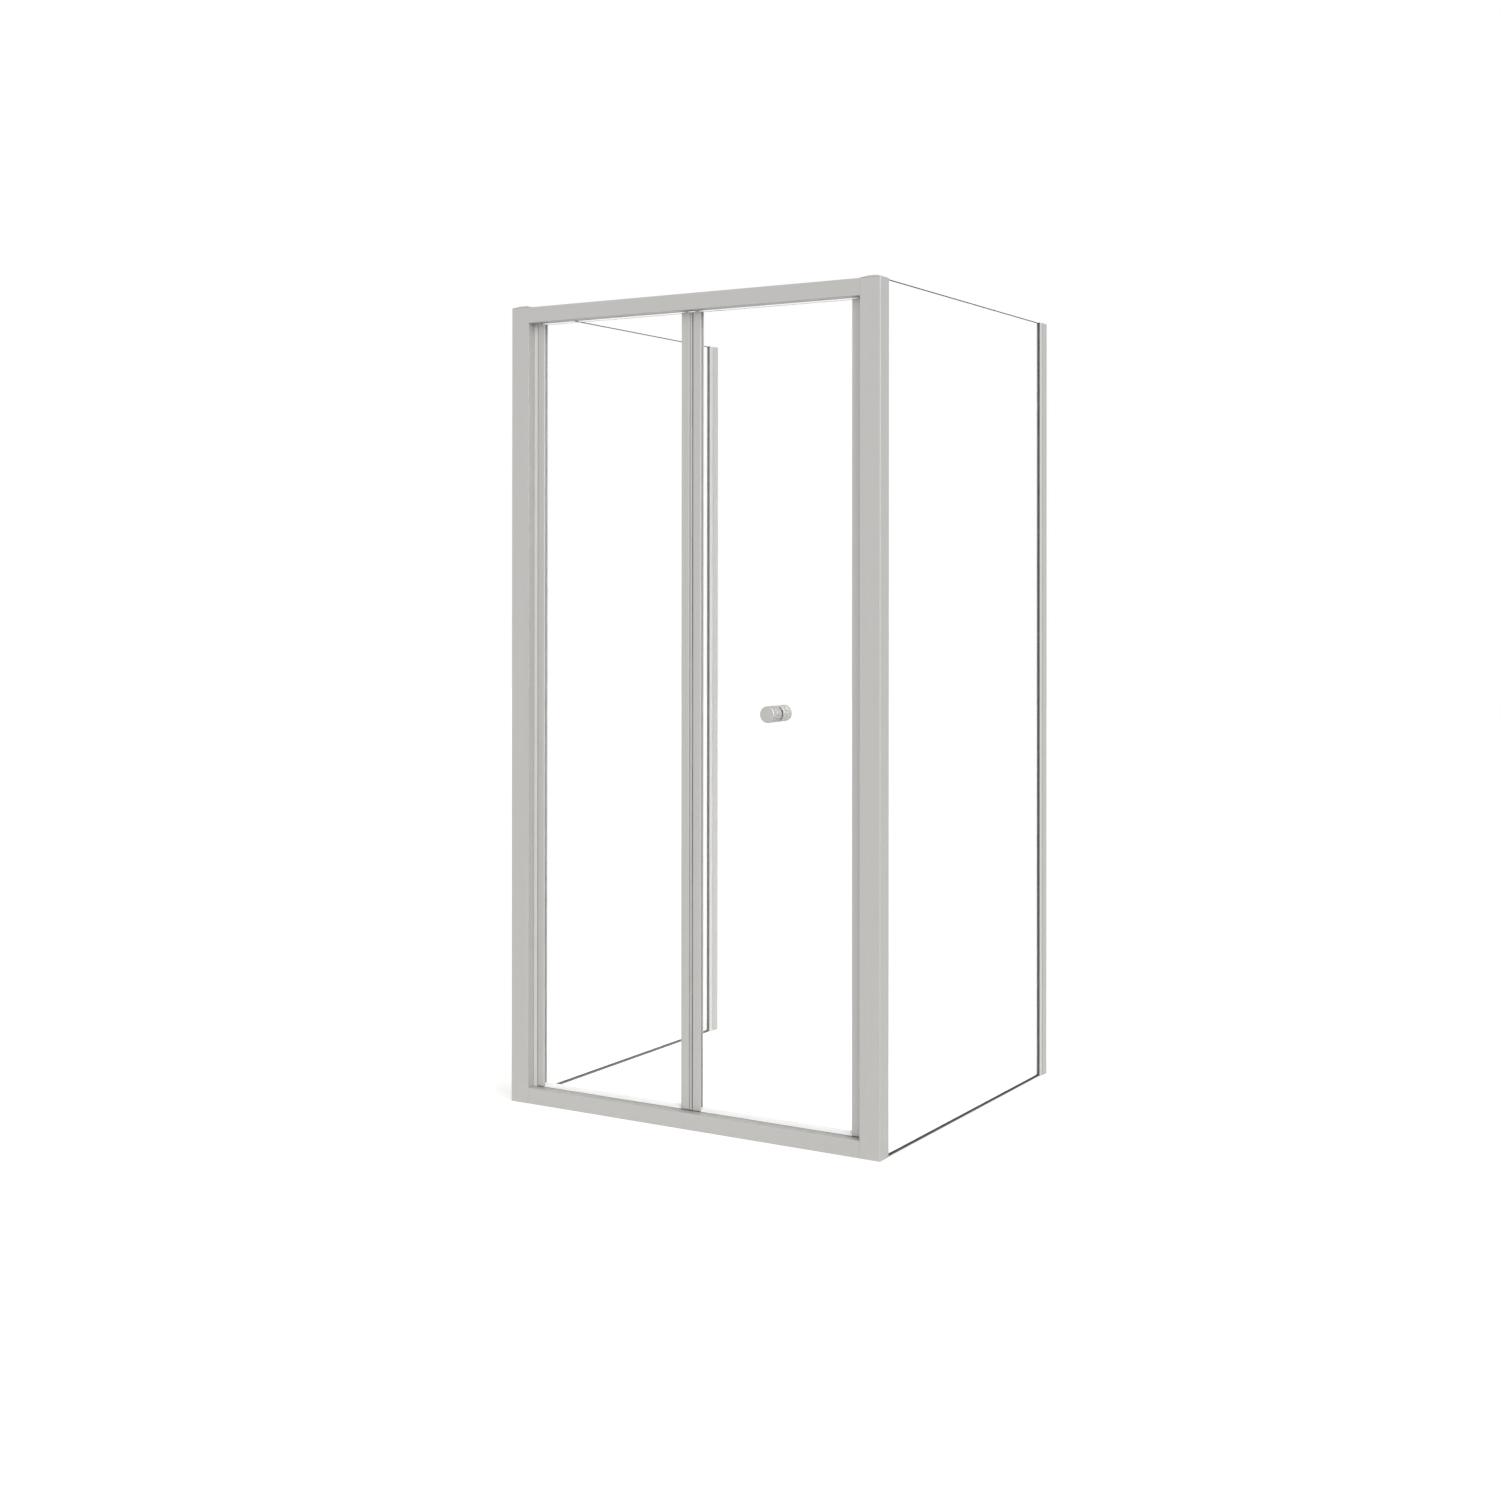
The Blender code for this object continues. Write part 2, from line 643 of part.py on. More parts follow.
def pivot_jamb():
    """A jamb with a round seat for the pivot stile's nose; its front lip reaches further round it."""
    seat = NOSE_RADIUS + PIVOT_SEAT
    wall = SEAT_GAP - POST_FACE
    front = STILE_HALF - JAMB_LIP
    front_angle = math.degrees(math.asin(front / seat))
    back_x = PIVOT_X - STILE_HALF
    back_angle = math.degrees(math.acos(STILE_HALF / seat))
    hollow = arc((PIVOT_X, 0), seat, 180 + front_angle, 180 - back_angle, NOSE_STEPS)
    outline = [(wall, -STILE_HALF), (hollow[0][0], -STILE_HALF), *hollow]
    jamb(outline + [(back_x, STILE_HALF), (wall, STILE_HALF)], "pivot_jamb", PALE_VINYL)


def strike_jamb():
    """A jamb on the closing side with a groove for its magnetic strip."""
    groove = STRIKE_FACE + MAGNET_DEPTH + SEAT_GAP
    face = groove - MAGNET_SEAT
    wall = POST_FACE - SEAT_GAP
    slot = MAGNET_WIDTH / 2 + SEAT_GAP
    outline = [(face, -STILE_HALF), (wall, -STILE_HALF), (wall, STILE_HALF), (face, STILE_HALF)]
    outline += [(face, slot), (groove, slot), (groove, -slot), (face, -slot)]
    jamb(outline, "strike_jamb", SATIN)


def strike_magnet():
    half = MAGNET_WIDTH / 2
    jamb(rectangle(STRIKE_FACE, STRIKE_FACE + MAGNET_DEPTH, -half, half), "strike_magnet", GREY_NYLON)


# Pivot blocks


def pivot_block(upper, name):
    """A block in the track with a bore for the pivot pin and a hole for its own screw."""
    x0 = 2 * SEAT_GAP - POST_FACE
    half = TRACK_WIDTH / 2 - SEAT_GAP
    outline = rectangle(x0, x0 + PIVOT_BLOCK, -half, half)
    bore = circle((PIVOT_X, 0), PIN_RADIUS + SEAT_GAP)
    hole = circle((PIVOT_X + PIVOT_SCREW_OFFSET, 0), SCREW_RADIUS + HOLE_EASE, SMALL_STEPS)
    ceiling = TRACK_CEILING - SEAT_GAP
    middle = upright(ceiling - PIVOT_BLOCK_HEIGHT / 2, upper)
    body = extrusion([outline, bore, hole], PIVOT_BLOCK_HEIGHT, (0, DOOR_Y, middle))
    named(body, name, GREY_NYLON)


def pivot_block_screw(upper, name):
    """A screw through the pivot block and the track's web."""
    seat = TRACK_CEILING - PIVOT_BLOCK_HEIGHT - 2 * SEAT_GAP
    length = TRACK_CEILING + RAIL_WALL + 2 * SCREW_TIP - seat
    place = (PIVOT_X + PIVOT_SCREW_OFFSET, DOOR_Y, upright(seat, upper))
    screw(name, length, place, UPSIDE_DOWN if upper else FLAT)


# Leaves. side is -1 for leaf A, which hangs on the left jamb, and +1 for leaf B.


def end_stile(side, name, carrier, magnet):
    """A stile whose nose is round about its pin, with a chamber for the pin's plug and a slot for glass."""
    centre = (NOSE_RADIUS, 0)
    start, end = 180 - NOSE_ANGLE, 180 + NOSE_ANGLE
    nose = arc(centre, NOSE_RADIUS, start, end, NOSE_STEPS)
    if magnet:
        groove = MAGNET_WIDTH / 2 + SEAT_GAP
        turn = math.degrees(math.asin(groove / NOSE_RADIUS))
        floor = MAGNET_DEPTH + SEAT_GAP
        nose = arc(centre, NOSE_RADIUS, start, 180 - turn)
        nose += [(floor, groove), (floor, -groove)]
        nose += arc(centre, NOSE_RADIUS, 180 + turn, end)
    outline = nose + glazing_edge(END_STILE_WIDTH)
    chamber = rectangle(PIN_CHAMBER_START, PIN_CHAMBER_END, -CHAMBER_HALF, CHAMBER_HALF)
    loops = [sided(loop, side) for loop in (outline, chamber)]
    stile = extrusion(loops, LEAF_HEIGHT, (side * LEAF_EDGE, DOOR_Y, MID_HEIGHT))
    named(stile, name, SATIN, carrier)


def glazing_edge(width):
    """The edge of a stile that faces the glass: rounded corners and the slot between them."""
    rim = STILE_RIM
    slot = SLOT_WIDTH / 2
    floor = width - STILE_SLOT
    points = arc((width - rim, rim - STILE_HALF), rim, 270, 360)
    points += [(width, -slot), (floor, -slot), (floor, slot), (width, slot)]
    return points + arc((width - rim, STILE_HALF - rim), rim, 0, 90)


def hinge_stile(side, name, carrier):
    """A stile at the centre, with a groove for the foot of its hinge strip."""
    front = HINGE_SETBACK + FOOT_SETBACK - STILE_HALF
    low, high = front - SEAT_GAP, front + HINGE_FOOT + SEAT_GAP
    depth = FOOT_BITE + SEAT_GAP
    outline = arc((STILE_EDGE, STILE_EDGE - STILE_HALF), STILE_EDGE, 180, 270)
    outline += glazing_edge(HINGE_STILE_WIDTH)
    outline += arc((STILE_EDGE, STILE_HALF - STILE_EDGE), STILE_EDGE, 90, 180)
    outline += [(0, high), (depth, high), (depth, low), (0, low)]
    chamber = rectangle(HINGE_CHAMBER_START, HINGE_CHAMBER_END, -CHAMBER_HALF, CHAMBER_HALF)
    loops = [sided(loop, -side) for loop in (outline, chamber)]
    stile = extrusion(loops, LEAF_HEIGHT, (side * CENTRE_GAP / 2, DOOR_Y, MID_HEIGHT))
    named(stile, name, SATIN, carrier)


def stile_cap(side, upper, name, carrier):
    """A plug with a brim that closes an end of the hinge stile."""
    def part(ease, low, high):
        near, far = HINGE_CHAMBER_START + ease, HINGE_CHAMBER_END - ease
        x0, x1 = sorted(side * (CENTRE_GAP / 2 + x) for x in (near, far))
        y = CHAMBER_HALF - ease
        z0, z1 = rising(low, high, upper)
        return block((x0, DOOR_Y - y, z0), (x1, DOOR_Y + y, z1))

    plug = part(SEAT_GAP, LEAF_TOP - PLUG_LENGTH / 2, LEAF_TOP + CAP_PLATE / 2)
    brim = part(-STILE_WALL / 2, LEAF_TOP + SEAT_GAP, LEAF_TOP + CAP_PLATE)
    named(fused(plug, brim), name, GREY_NYLON, carrier)


def pane(side, name, carrier, knob_hole):
    near = CENTRE_GAP / 2 + HINGE_STILE_WIDTH - GLASS_BITE
    far = LEAF_EDGE - END_STILE_WIDTH + GLASS_BITE
    x0, x1 = sorted((side * near, side * far))
    half = GLASS / 2
    glass = block((x0, DOOR_Y - half, PANE_BOTTOM), (x1, DOOR_Y + half, LEAF_TOP), ARRIS)
    if knob_hole:
        spot = (KNOB_X, DOOR_Y, MID_HEIGHT)
        drilled(glass, f"{name}_hole", GLASS_HOLE_RADIUS, GLASS, spot, FACING_FRONT)
    named(glass, name, CLEAR, carrier)


def pane_gasket(edge, inward, name, carrier):
    """Wraps an upright edge of a pane; edge is the slot's mouth, and inward points out of the slot."""
    inner = GLASS / 2 + SEAT_GAP
    outer = inner + GASKET_LEG
    floor = SEAT_GAP - STILE_SLOT
    web = floor + GASKET_LEG
    outline = [(floor, -outer), (0, -outer), (0, -inner), (web, -inner)]
    outline += [(web, inner), (0, inner), (0, outer), (floor, outer)]
    place = (edge, DOOR_Y, (LEAF_TOP + PANE_BOTTOM) / 2)
    strip = extrusion([sided(outline, -inward)], LEAF_TOP - PANE_BOTTOM, place)
    named(strip, name, PALE_VINYL, carrier)


def drip_seal(side, name, carrier):
    """Pushed on to the bottom of a pane between its stiles, with a lip over the track on each side."""
    near = CENTRE_GAP / 2 + HINGE_STILE_WIDTH + SEAT_GAP
    far = LEAF_EDGE - END_STILE_WIDTH - SEAT_GAP
    inner = GLASS / 2 + SEAT_GAP
    outer = inner + GASKET_LEG
    foot = LEAF_BOTTOM - SEAL_DROP
    floor = LEAF_BOTTOM + SEAL_BASE
    top = floor + SEAL_LEG
    outline = [(-outer - FRONT_REACH, foot), (outer + DRIP_REACH, foot), (outer, floor), (outer, top)]
    outline += [(inner, top), (inner, floor), (-inner, floor), (-inner, top), (-outer, top)]
    outline.append((-outer, floor))
    place = (side * (near + far) / 2, DOOR_Y, 0)
    named(extrusion([outline], far - near, place, ALONG_X), name, CLEAR_VINYL, carrier)


def end_pin(side, upper, name, carrier, reach, collars=()):
    """A pin on a plug in the end stile; its collars are (lower, upper) distances from the leaf's end."""
    ends = (PIN_CHAMBER_START + SEAT_GAP, PIN_CHAMBER_END - SEAT_GAP)
    x0, x1 = sorted(side * (LEAF_EDGE - x) for x in ends)
    y = CHAMBER_HALF - SEAT_GAP
    z0, z1 = rising(LEAF_TOP - PLUG_LENGTH, LEAF_TOP + END_CLEARANCE / 2, upper)
    plug = block((x0, DOOR_Y - y, z0), (x1, DOOR_Y + y, z1))
    profile = [(0, reach), (PIN_RADIUS, reach)]
    for low, high in collars:
        profile += [(PIN_RADIUS, high), (COLLAR_RADIUS, high), (COLLAR_RADIUS, low), (PIN_RADIUS, low)]
    root = -PLUG_LENGTH / 2
    profile += [(PIN_RADIUS, root), (0, root)]
    spot = (side * GUIDE_X, DOOR_Y, upright(LEAF_TOP, upper))
    spindle = turned(profile, spot, FLAT if upper else UPSIDE_DOWN)
    named(fused(plug, spindle), name, STEEL, carrier)


def guide_roller(upper, name, carrier):
    """A roller between the guide pin's collars, which runs in the track."""
    edge = COLLAR_HEIGHT / 2
    bore = PIN_RADIUS + SEAT_GAP
    half = ROLLER_HEIGHT / 2
    rim = ROLLER_RADIUS - edge
    profile = [(bore, half), (rim, half), (ROLLER_RADIUS, half - edge)]
    profile += [(ROLLER_RADIUS, edge - half), (rim, -half), (bore, -half)]
    middle = upright(LEAF_TOP + ROLLER_FOOT + half, upper)
    named(turned(profile, (GUIDE_X, DOOR_Y, middle)), name, GREY_NYLON, carrier)


def closing_magnet(carrier):
    half = MAGNET_WIDTH / 2
    crest = NOSE_RADIUS - math.sqrt(NOSE_RADIUS**2 - half**2)
    outline = sided(rectangle(crest, MAGNET_DEPTH, -half, half), 1)
    strip = extrusion([outline], LEAF_HEIGHT, (LEAF_EDGE, DOOR_Y, MID_HEIGHT))
    named(strip, "closing_magnet", GREY_NYLON, carrier)


# Centre hinge: two strips whose knuckles share one rod


def hinge_strip(side, first, name, carrier):
    """A foot in the stile's groove, with an arm and a knuckle at every second pitch from the first."""
    foot = (FOOT_SETBACK, FOOT_SETBACK + HINGE_FOOT)
    x0, x1 = sorted(side * (CENTRE_GAP / 2 + x) for x in (-KNUCKLE_EASE / 2, FOOT_BITE))
    strip = block((x0, HINGE_Y + foot[0], LEAF_BOTTOM), (x1, HINGE_Y + foot[1], LEAF_TOP))
    arm = (foot[0] + ARM_INSET, foot[1] - ARM_INSET)
    outline = arc((0, 0), KNUCKLE_RADIUS, 90, 360, ROUND_STEPS)
    outline += [(KNUCKLE_RADIUS, arm[0]), (CENTRE_GAP / 2, arm[0]), (CENTRE_GAP / 2, arm[1]), (0, arm[1])]
    bore = circle((0, 0), ROD_RADIUS + SEAT_GAP, SMALL_STEPS)
    loops = [sided(loop, -side) for loop in (outline, bore)]
    pitch = LEAF_HEIGHT / KNUCKLES
    knuckles = []
    for number in range(first, KNUCKLES, 2):
        middle = LEAF_BOTTOM + pitch * (number + 1 / 2)
        knuckles.append(extrusion(loops, pitch - KNUCKLE_SPLIT, (0, HINGE_Y, middle)))
    named(fused(strip, *knuckles), name, GREY_NYLON, carrier)


def hinge_rod(carrier):
    named(rod(ROD_RADIUS, LEAF_HEIGHT, (0, HINGE_Y, MID_HEIGHT)), "hinge_rod", STEEL, carrier)


def centre_seal(carrier):
    """A hollow seal on leaf A's stile that fills the centre gap behind the hinge arms."""
    x0, x1 = SEAT_GAP - CENTRE_GAP / 2, CENTRE_GAP / 2 - 2 * SEAT_GAP
    y0 = FOOT_SETBACK + HINGE_FOOT + 2 * SEAT_GAP
    y1 = y0 + SEAL_DEPTH
    flat, round_side = SEAL_WALL * 3 / 2, SEAL_DEPTH / 2 - SEAT_GAP
    outer = rectangle(x0, x1, y0, y1, (flat, round_side, round_side, flat))
    wall = SEAL_WALL
    radii = (flat - wall, round_side - wall, round_side - wall, flat - wall)
    inner = rectangle(x0 + wall, x1 - wall, y0 + wall, y1 - wall, radii)
    seal = extrusion([outer, inner], LEAF_HEIGHT, (0, HINGE_Y, MID_HEIGHT))
    named(seal, "centre_seal", GREY_NYLON, carrier)


# Knobs


def knob(turn, name, carrier, stud):
    """A turned knob with a groove round it on a narrower neck, with a stud or a bore that takes it."""
    foot = GLASS / 2 + WASHER + 2 * SEAT_GAP
    end = KNOB_STANDOFF + KNOB_LENGTH
    back_rim = KNOB_RADIUS - KNOB_BACK_EDGE
    groove = end - KNOB_LENGTH * KNOB_GROOVE_SHARE
    profile = [(0, end)] + arc((KNOB_RADIUS - KNOB_EDGE, end - KNOB_EDGE), KNOB_EDGE, 90, 0)
    profile += arc((KNOB_RADIUS, groove), KNOB_GROOVE, 90, 270, SMALL_STEPS // 2)
    profile += arc((back_rim, KNOB_STANDOFF + KNOB_BACK_EDGE), KNOB_BACK_EDGE, 0, -90)
    profile += [(NECK_RADIUS, KNOB_STANDOFF), (NECK_RADIUS, foot)]
    if stud:
        reach = foot + STUD_BITE - SEAT_GAP
        tip = STUD_RADIUS / 3
        profile += [(STUD_RADIUS, foot), (STUD_RADIUS, tip - reach), (STUD_RADIUS - tip, -reach), (0, -reach)]
    else:
        bore = STUD_RADIUS + SEAT_GAP
        floor = foot + STUD_BITE
        profile += [(bore, foot), (bore, floor), (0, floor)]
    named(turned(profile, (KNOB_X, DOOR_Y, MID_HEIGHT), turn), name, SATIN, carrier)


def knob_washer(turn, name, carrier):
    """A flanged washer whose spigot lines the hole in the glass."""
    near = GLASS / 2 + SEAT_GAP
    far = near + WASHER
    bore = STUD_RADIUS + SEAT_GAP
    spigot = GLASS_HOLE_RADIUS - SEAT_GAP
    inner_end = SEAT_GAP / 2
    profile = [(bore, far), (WASHER_RADIUS, far), (WASHER_RADIUS, near), (spigot, near)]
    profile += [(spigot, inner_end), (bore, inner_end)]
    named(turned(profile, (KNOB_X, DOOR_Y, MID_HEIGHT), turn), name, DARK_RUBBER, carrier)


# Assembly

ENDS = ((True, "top"), (False, "bottom"))

for side, word in ((-1, "left"), (1, "right")):
    corner_post(side, f"{word}_corner_post")
    post_cap(side, f"{word}_post_cap")
    side_glass(side, f"{word}_side_glass")
    side_bottom_seal(side, f"{word}_bottom_seal")
    post_gasket(side, f"{word}_post_gasket")
    glass_profile(side, f"{word}_glass_profile")
    wall_channel(side, f"{word}_wall_channel")
    wall_gasket(side, f"{word}_wall_gasket")
    for upper, end in ENDS:
        corner_screw(side, upper, f"{word}_{end}_corner_screw")

for upper, end in ENDS:
    rail(upper, f"{end}_rail")
    pivot_block(upper, f"{end}_pivot_block")
    pivot_block_screw(upper, f"{end}_pivot_block_screw")

pivot_jamb()
strike_jamb()
strike_magnet()

leaf_a_axis = axis("leaf_a_axis", (PIVOT_X, DOOR_Y, 0))
leaf_b_axis = axis("leaf_b_axis", (0, HINGE_Y, 0), leaf_a_axis)
roller_axis = axis("roller_axis", (GUIDE_X, DOOR_Y, 0), leaf_b_axis)

for side, leaf, carrier in ((-1, "leaf_a", leaf_a_axis), (1, "leaf_b", leaf_b_axis)):
    hinge_stile(side, f"{leaf}_hinge_stile", carrier)
    pane(side, f"{leaf}_glass", carrier, knob_hole=side > 0)
    hinge_edge = side * (CENTRE_GAP / 2 + HINGE_STILE_WIDTH)
    end_edge = side * (LEAF_EDGE - END_STILE_WIDTH)
    pane_gasket(hinge_edge, side, f"{leaf}_hinge_gasket", carrier)
    pane_gasket(end_edge, -side, f"{leaf}_end_gasket", carrier)
    drip_seal(side, f"{leaf}_drip_seal", carrier)
    for upper, end in ENDS:
        stile_cap(side, upper, f"{leaf}_{end}_stile_cap", carrier)

end_stile(-1, "leaf_a_pivot_stile", leaf_a_axis, magnet=False)
hinge_strip(-1, 0, "leaf_a_hinge_strip", leaf_a_axis)
hinge_rod(leaf_a_axis)
centre_seal(leaf_a_axis)

end_stile(1, "leaf_b_closing_stile", leaf_b_axis, magnet=True)
hinge_strip(1, 1, "leaf_b_hinge_strip", leaf_b_axis)
closing_magnet(leaf_b_axis)

for upper, end in ENDS:
    end_pin(-1, upper, f"{end}_pivot_pin", leaf_a_axis, PIN_REACH)
    around_roller = (
        (ROLLER_HEAD + SEAT_GAP, GUIDE_REACH),
        (ROLLER_FOOT - SEAT_GAP - COLLAR_HEIGHT, ROLLER_FOOT - SEAT_GAP),
    )
    end_pin(1, upper, f"{end}_guide_pin", leaf_b_axis, GUIDE_REACH, around_roller)
    guide_roller(upper, f"{end}_guide_roller", roller_axis)

for turn, word in ((FACING_FRONT, "outer"), (FACING_BACK, "inner")):
    knob(turn, f"{word}_knob", leaf_b_axis, stud=word == "inner")
    knob_washer(turn, f"{word}_knob_washer", leaf_b_axis)

bpy.context.view_layer.update()
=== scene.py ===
"""The looks of a three-sided shower enclosure with a bi-fold door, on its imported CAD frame.

Metres, +Z up; the door faces -Y and the wall is at +Y.
"""

import json
import math

import bmesh
import bpy
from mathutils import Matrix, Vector


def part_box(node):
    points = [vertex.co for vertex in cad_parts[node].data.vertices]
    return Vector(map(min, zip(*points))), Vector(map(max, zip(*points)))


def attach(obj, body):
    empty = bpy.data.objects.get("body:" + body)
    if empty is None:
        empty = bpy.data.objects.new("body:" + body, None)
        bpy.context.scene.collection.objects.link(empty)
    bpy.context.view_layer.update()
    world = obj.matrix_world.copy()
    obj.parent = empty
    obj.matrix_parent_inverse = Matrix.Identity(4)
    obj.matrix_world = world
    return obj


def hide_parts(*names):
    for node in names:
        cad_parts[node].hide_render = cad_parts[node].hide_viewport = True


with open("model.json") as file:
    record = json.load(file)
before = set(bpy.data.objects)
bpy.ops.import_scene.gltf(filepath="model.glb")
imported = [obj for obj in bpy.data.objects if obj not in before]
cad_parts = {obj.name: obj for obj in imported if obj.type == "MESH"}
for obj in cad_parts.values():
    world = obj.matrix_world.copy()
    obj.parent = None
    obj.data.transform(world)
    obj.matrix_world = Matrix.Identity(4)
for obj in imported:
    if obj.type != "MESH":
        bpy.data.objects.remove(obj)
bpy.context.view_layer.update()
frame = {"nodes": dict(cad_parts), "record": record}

MM = 0.001
X, Y, Z = 0, 1, 2
LEFT, RIGHT = -1, 1
BODY = {n: body for body, nodes in frame["record"]["behaviour"]["bodies"].items() for n in nodes}

DOOR_MIDDLE = sum(end[Y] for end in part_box("leaf_a_glass")) / 2
KNOB_CENTRE = [(a + b) / 2 for a, b in zip(*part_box("outer_knob_washer"))]
KNOB_CENTRE[Y] = DOOR_MIDDLE

# Fineness of the meshes: the steps in a full circle and in an arc, the steps of a quarter turn, the
# turn from which an edge is sharp, and how many times smaller the ring is that closes a flat end
ROUND = 96
ARC = 8
QUARTER = [math.pi / 2 * i / ARC for i in range(ARC + 1)]
SHARP = math.radians(32)
FLAT_END = 10

# The clearance between neighbouring pieces
SEAM = 0.3 * MM

# Glass, and the profiles of its edges: how far in from the edge, how deep under the first face
GLASS_HALF = 2.5 * MM
GLASS_HOLE = 6 * MM
DUBBED_CORNER = 2 * MM
ARRIS = 1.2 * MM
PENCIL_EDGE = [
    (GLASS_HALF * (1 - math.sin(2 * t)), GLASS_HALF * (1 - math.cos(2 * t))) for t in QUARTER
]
ARRISED_EDGE = [(ARRIS, 0), (0, ARRIS), (0, 2 * GLASS_HALF - ARRIS), (ARRIS, 2 * GLASS_HALF)]

# Post caps: radii of their corners, the swell from foot to crown, and the plug's distances from
# the post's door side, its outer side, and its front and back
POST_EDGE = 1.5 * MM
JOINT_EDGE = 0.4 * MM
LIP_EDGE = 1 * MM
CAP_RIM = 0.4 * MM
CAP_FLANK = (19 * MM, 15 * MM)
CAP_SWELL = 1.4
CAP_SOFTENING = 2 * MM
CAP_STEPS = 24
CAP_PLUG = (2.6 * MM, 12.2 * MM)
CAP_PLUG_SIDE = 2.6 * MM

# Knobs and their washers, measured outward from the middle of the glass
KNOB_STANDOFF = 6 * MM
KNOB_LENGTH = 36 * MM
KNOB_RIM = 2.5 * MM
KNOB_CROWN = 0.4 * MM
KNOB_FACE_RINGS = (0.01, 0.3, 0.6, 0.8)
KNOB_BACK_RIM = 1.5 * MM
KNOB_GROOVE = 1 * MM
KNOB_GROOVE_PLACE = 16.6 * MM
NECK_RADIUS = 12.5 * MM
NECK_FILLET = 1 * MM
NECK_FOOT = 4.6 * MM
STUD = 3 * MM
STUD_REACH = 18.3 * MM
STUD_BORE = 14 * MM
WASHER = 1.5 * MM
WASHER_EDGE = 0.5 * MM

# Gaskets and seals
GASKET_LEG = 1 * MM
LIP_CONTACT = 0.05 * MM
LIP_ROOT = 3.2 * MM
BEAD = 0.5 * MM
FLANGE = 1.2 * MM
FLANGE_OVERHANG = 1.7 * MM
SEAL_BASE = 2.4 * MM
BLADE = 0.8 * MM
FOOT_GROOVE = 0.5 * MM
FOOT_GROOVE_HEIGHTS = (0.3, 0.7)

# Edges of the solids that keep their shape
EASING = 0.3 * MM
EASING_STEPS = 2
WELD = 0.01 * MM

# Finishes: the part of its range that a noise texture keeps to, and how far the roughness of a
# moulded surface wavers
NOISE_SPAN = (0.3, 0.7)
GLOSS_SWING = 0.04

# Room: AMBIENT is the share of white that the world casts on the object, FLOOR_LIFT the share that
# the floor adds for the eye, and the camera's values were fitted to the photograph's corners
WHITE = (1, 1, 1, 1)
FLOOR_SIZE = 30.0
AMBIENT = 0.52
FLOOR_LIFT = 0.35
KEY_LAMP = {"bearing": 45, "elevation": 25, "radiance": 0.75, "spread": 60}
CAMERA_PLACE = (2.4571, -4.2676, 1.2286)
CAMERA_TURN = [math.radians(angle) for angle in (90.14, -0.04, 30.94)]
CAMERA_LENS = 48.01
CAMERA_SHIFT = -0.1116


# Mesh tools


def arc(centre, radius, start, end, steps=ARC):
    """Points on an arc, angles in degrees, both ends included."""
    turns = [math.radians(start + (end - start) * i / steps) for i in range(steps + 1)]
    return [(centre[0] + radius * math.cos(t), centre[1] + radius * math.sin(t)) for t in turns]


def rounded(low, high, radii):
    """A rectangle with a radius for each corner, anticlockwise from its low corner."""
    points = []
    corners = ((low[0], low[1]), (high[0], low[1]), (high[0], high[1]), (low[0], high[1]))
    middle = [(a + b) / 2 for a, b in zip(low, high)]
    for corner, radius, start in zip(corners, radii, (180, 270, 0, 90)):
        centre = [c + math.copysign(radius, m - c) for c, m in zip(corner, middle)]
        points += arc(centre, radius, start, start + 90)
    return points


def strip(cage, lower, upper, slot=0):
    """Joins two loops of equal count with faces in a material slot."""
    for i, corner in enumerate(lower):
        face = cage.faces.new((lower[i - 1], corner, upper[i], upper[i - 1]))
        face.material_index = slot


def skin(rings, endless=False):
    """A closed mesh through rings of equal count; if endless, the last ring joins the first."""
    cage = bmesh.new()
    loops = [[cage.verts.new(point) for point in ring] for ring in rings]
    following = loops[1:] + loops[:1] if endless else loops[1:]
    for lower, upper in zip(loops, following):
        strip(cage, lower, upper)
    if not endless:
        cage.faces.new(loops[0])
        cage.faces.new(loops[-1])
    return finished(cage)


def finished(cage):
    """The cage as a mesh with its faces turned outward, smooth between its sharp edges."""
    bmesh.ops.recalc_face_normals(cage, faces=cage.faces)
    mesh = bpy.data.meshes.new("piece")
    cage.to_mesh(mesh)
    cage.free()
    mesh.shade_smooth()
    mesh.set_sharp_from_angle(angle=SHARP)
    return mesh


def extruded(outline, along, low, high):
    """A bar from low to high along one axis, through an outline of the other two, in order."""
    first, second = (axis for axis in (X, Y, Z) if axis != along)
    rings = []
    for end in (low, high):
        ring = []
        for pair in outline:
            point = [end] * 3
            point[first], point[second] = pair
            ring.append(point)
        rings.append(ring)
    return skin(rings)


def turned(profile, centre, outward, endless=False):
    """A body turned about an axis along Y, from (radius, reach) points.

    The reach runs outward from the centre, and outward is 1 or -1 along Y.
    """
    rings = []
    for radius, reach in profile:
        circle = arc((centre[X], centre[Z]), radius, 0, 360, ROUND)[:-1]
        rings.append([(x, centre[Y] + outward * reach, z) for x, z in circle])
    return skin(rings, endless)


def placed(name, data):
    """A new object in the scene."""
    made = bpy.data.objects.new(name, data)
    bpy.context.scene.collection.objects.link(made)
    return made


def in_place_of(node, mesh, *materials):
    """A new piece that stands for a CAD node and rides on its body."""
    piece = placed(f"finished_{node}", mesh)
    mesh.name = piece.name
    for material in materials:
        mesh.materials.append(material)
    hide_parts(node)
    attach(piece, BODY[node])


# Finishes


def linear(code):
    """An sRGB hex colour as linear red, green, blue and full alpha."""
    shares = [int(code[i : i + 2], 16) / 255 for i in (0, 2, 4)]
    return [s / 12.92 if s <= 0.04045 else ((s + 0.055) / 1.055) ** 2.4 for s in shares] + [1]


def add(tree, kind, sockets=None, **settings):
    """Adds a node with its settings; each socket takes a value, or the output that feeds it."""
    made = tree.nodes.new(f"ShaderNode{kind}")
    for name, value in settings.items():
        setattr(made, name, value)
    for key, value in (sockets or {}).items():
        if isinstance(value, bpy.types.NodeSocket):
            tree.links.new(value, made.inputs[key])
        else:
            made.inputs[key].default_value = value
    return made


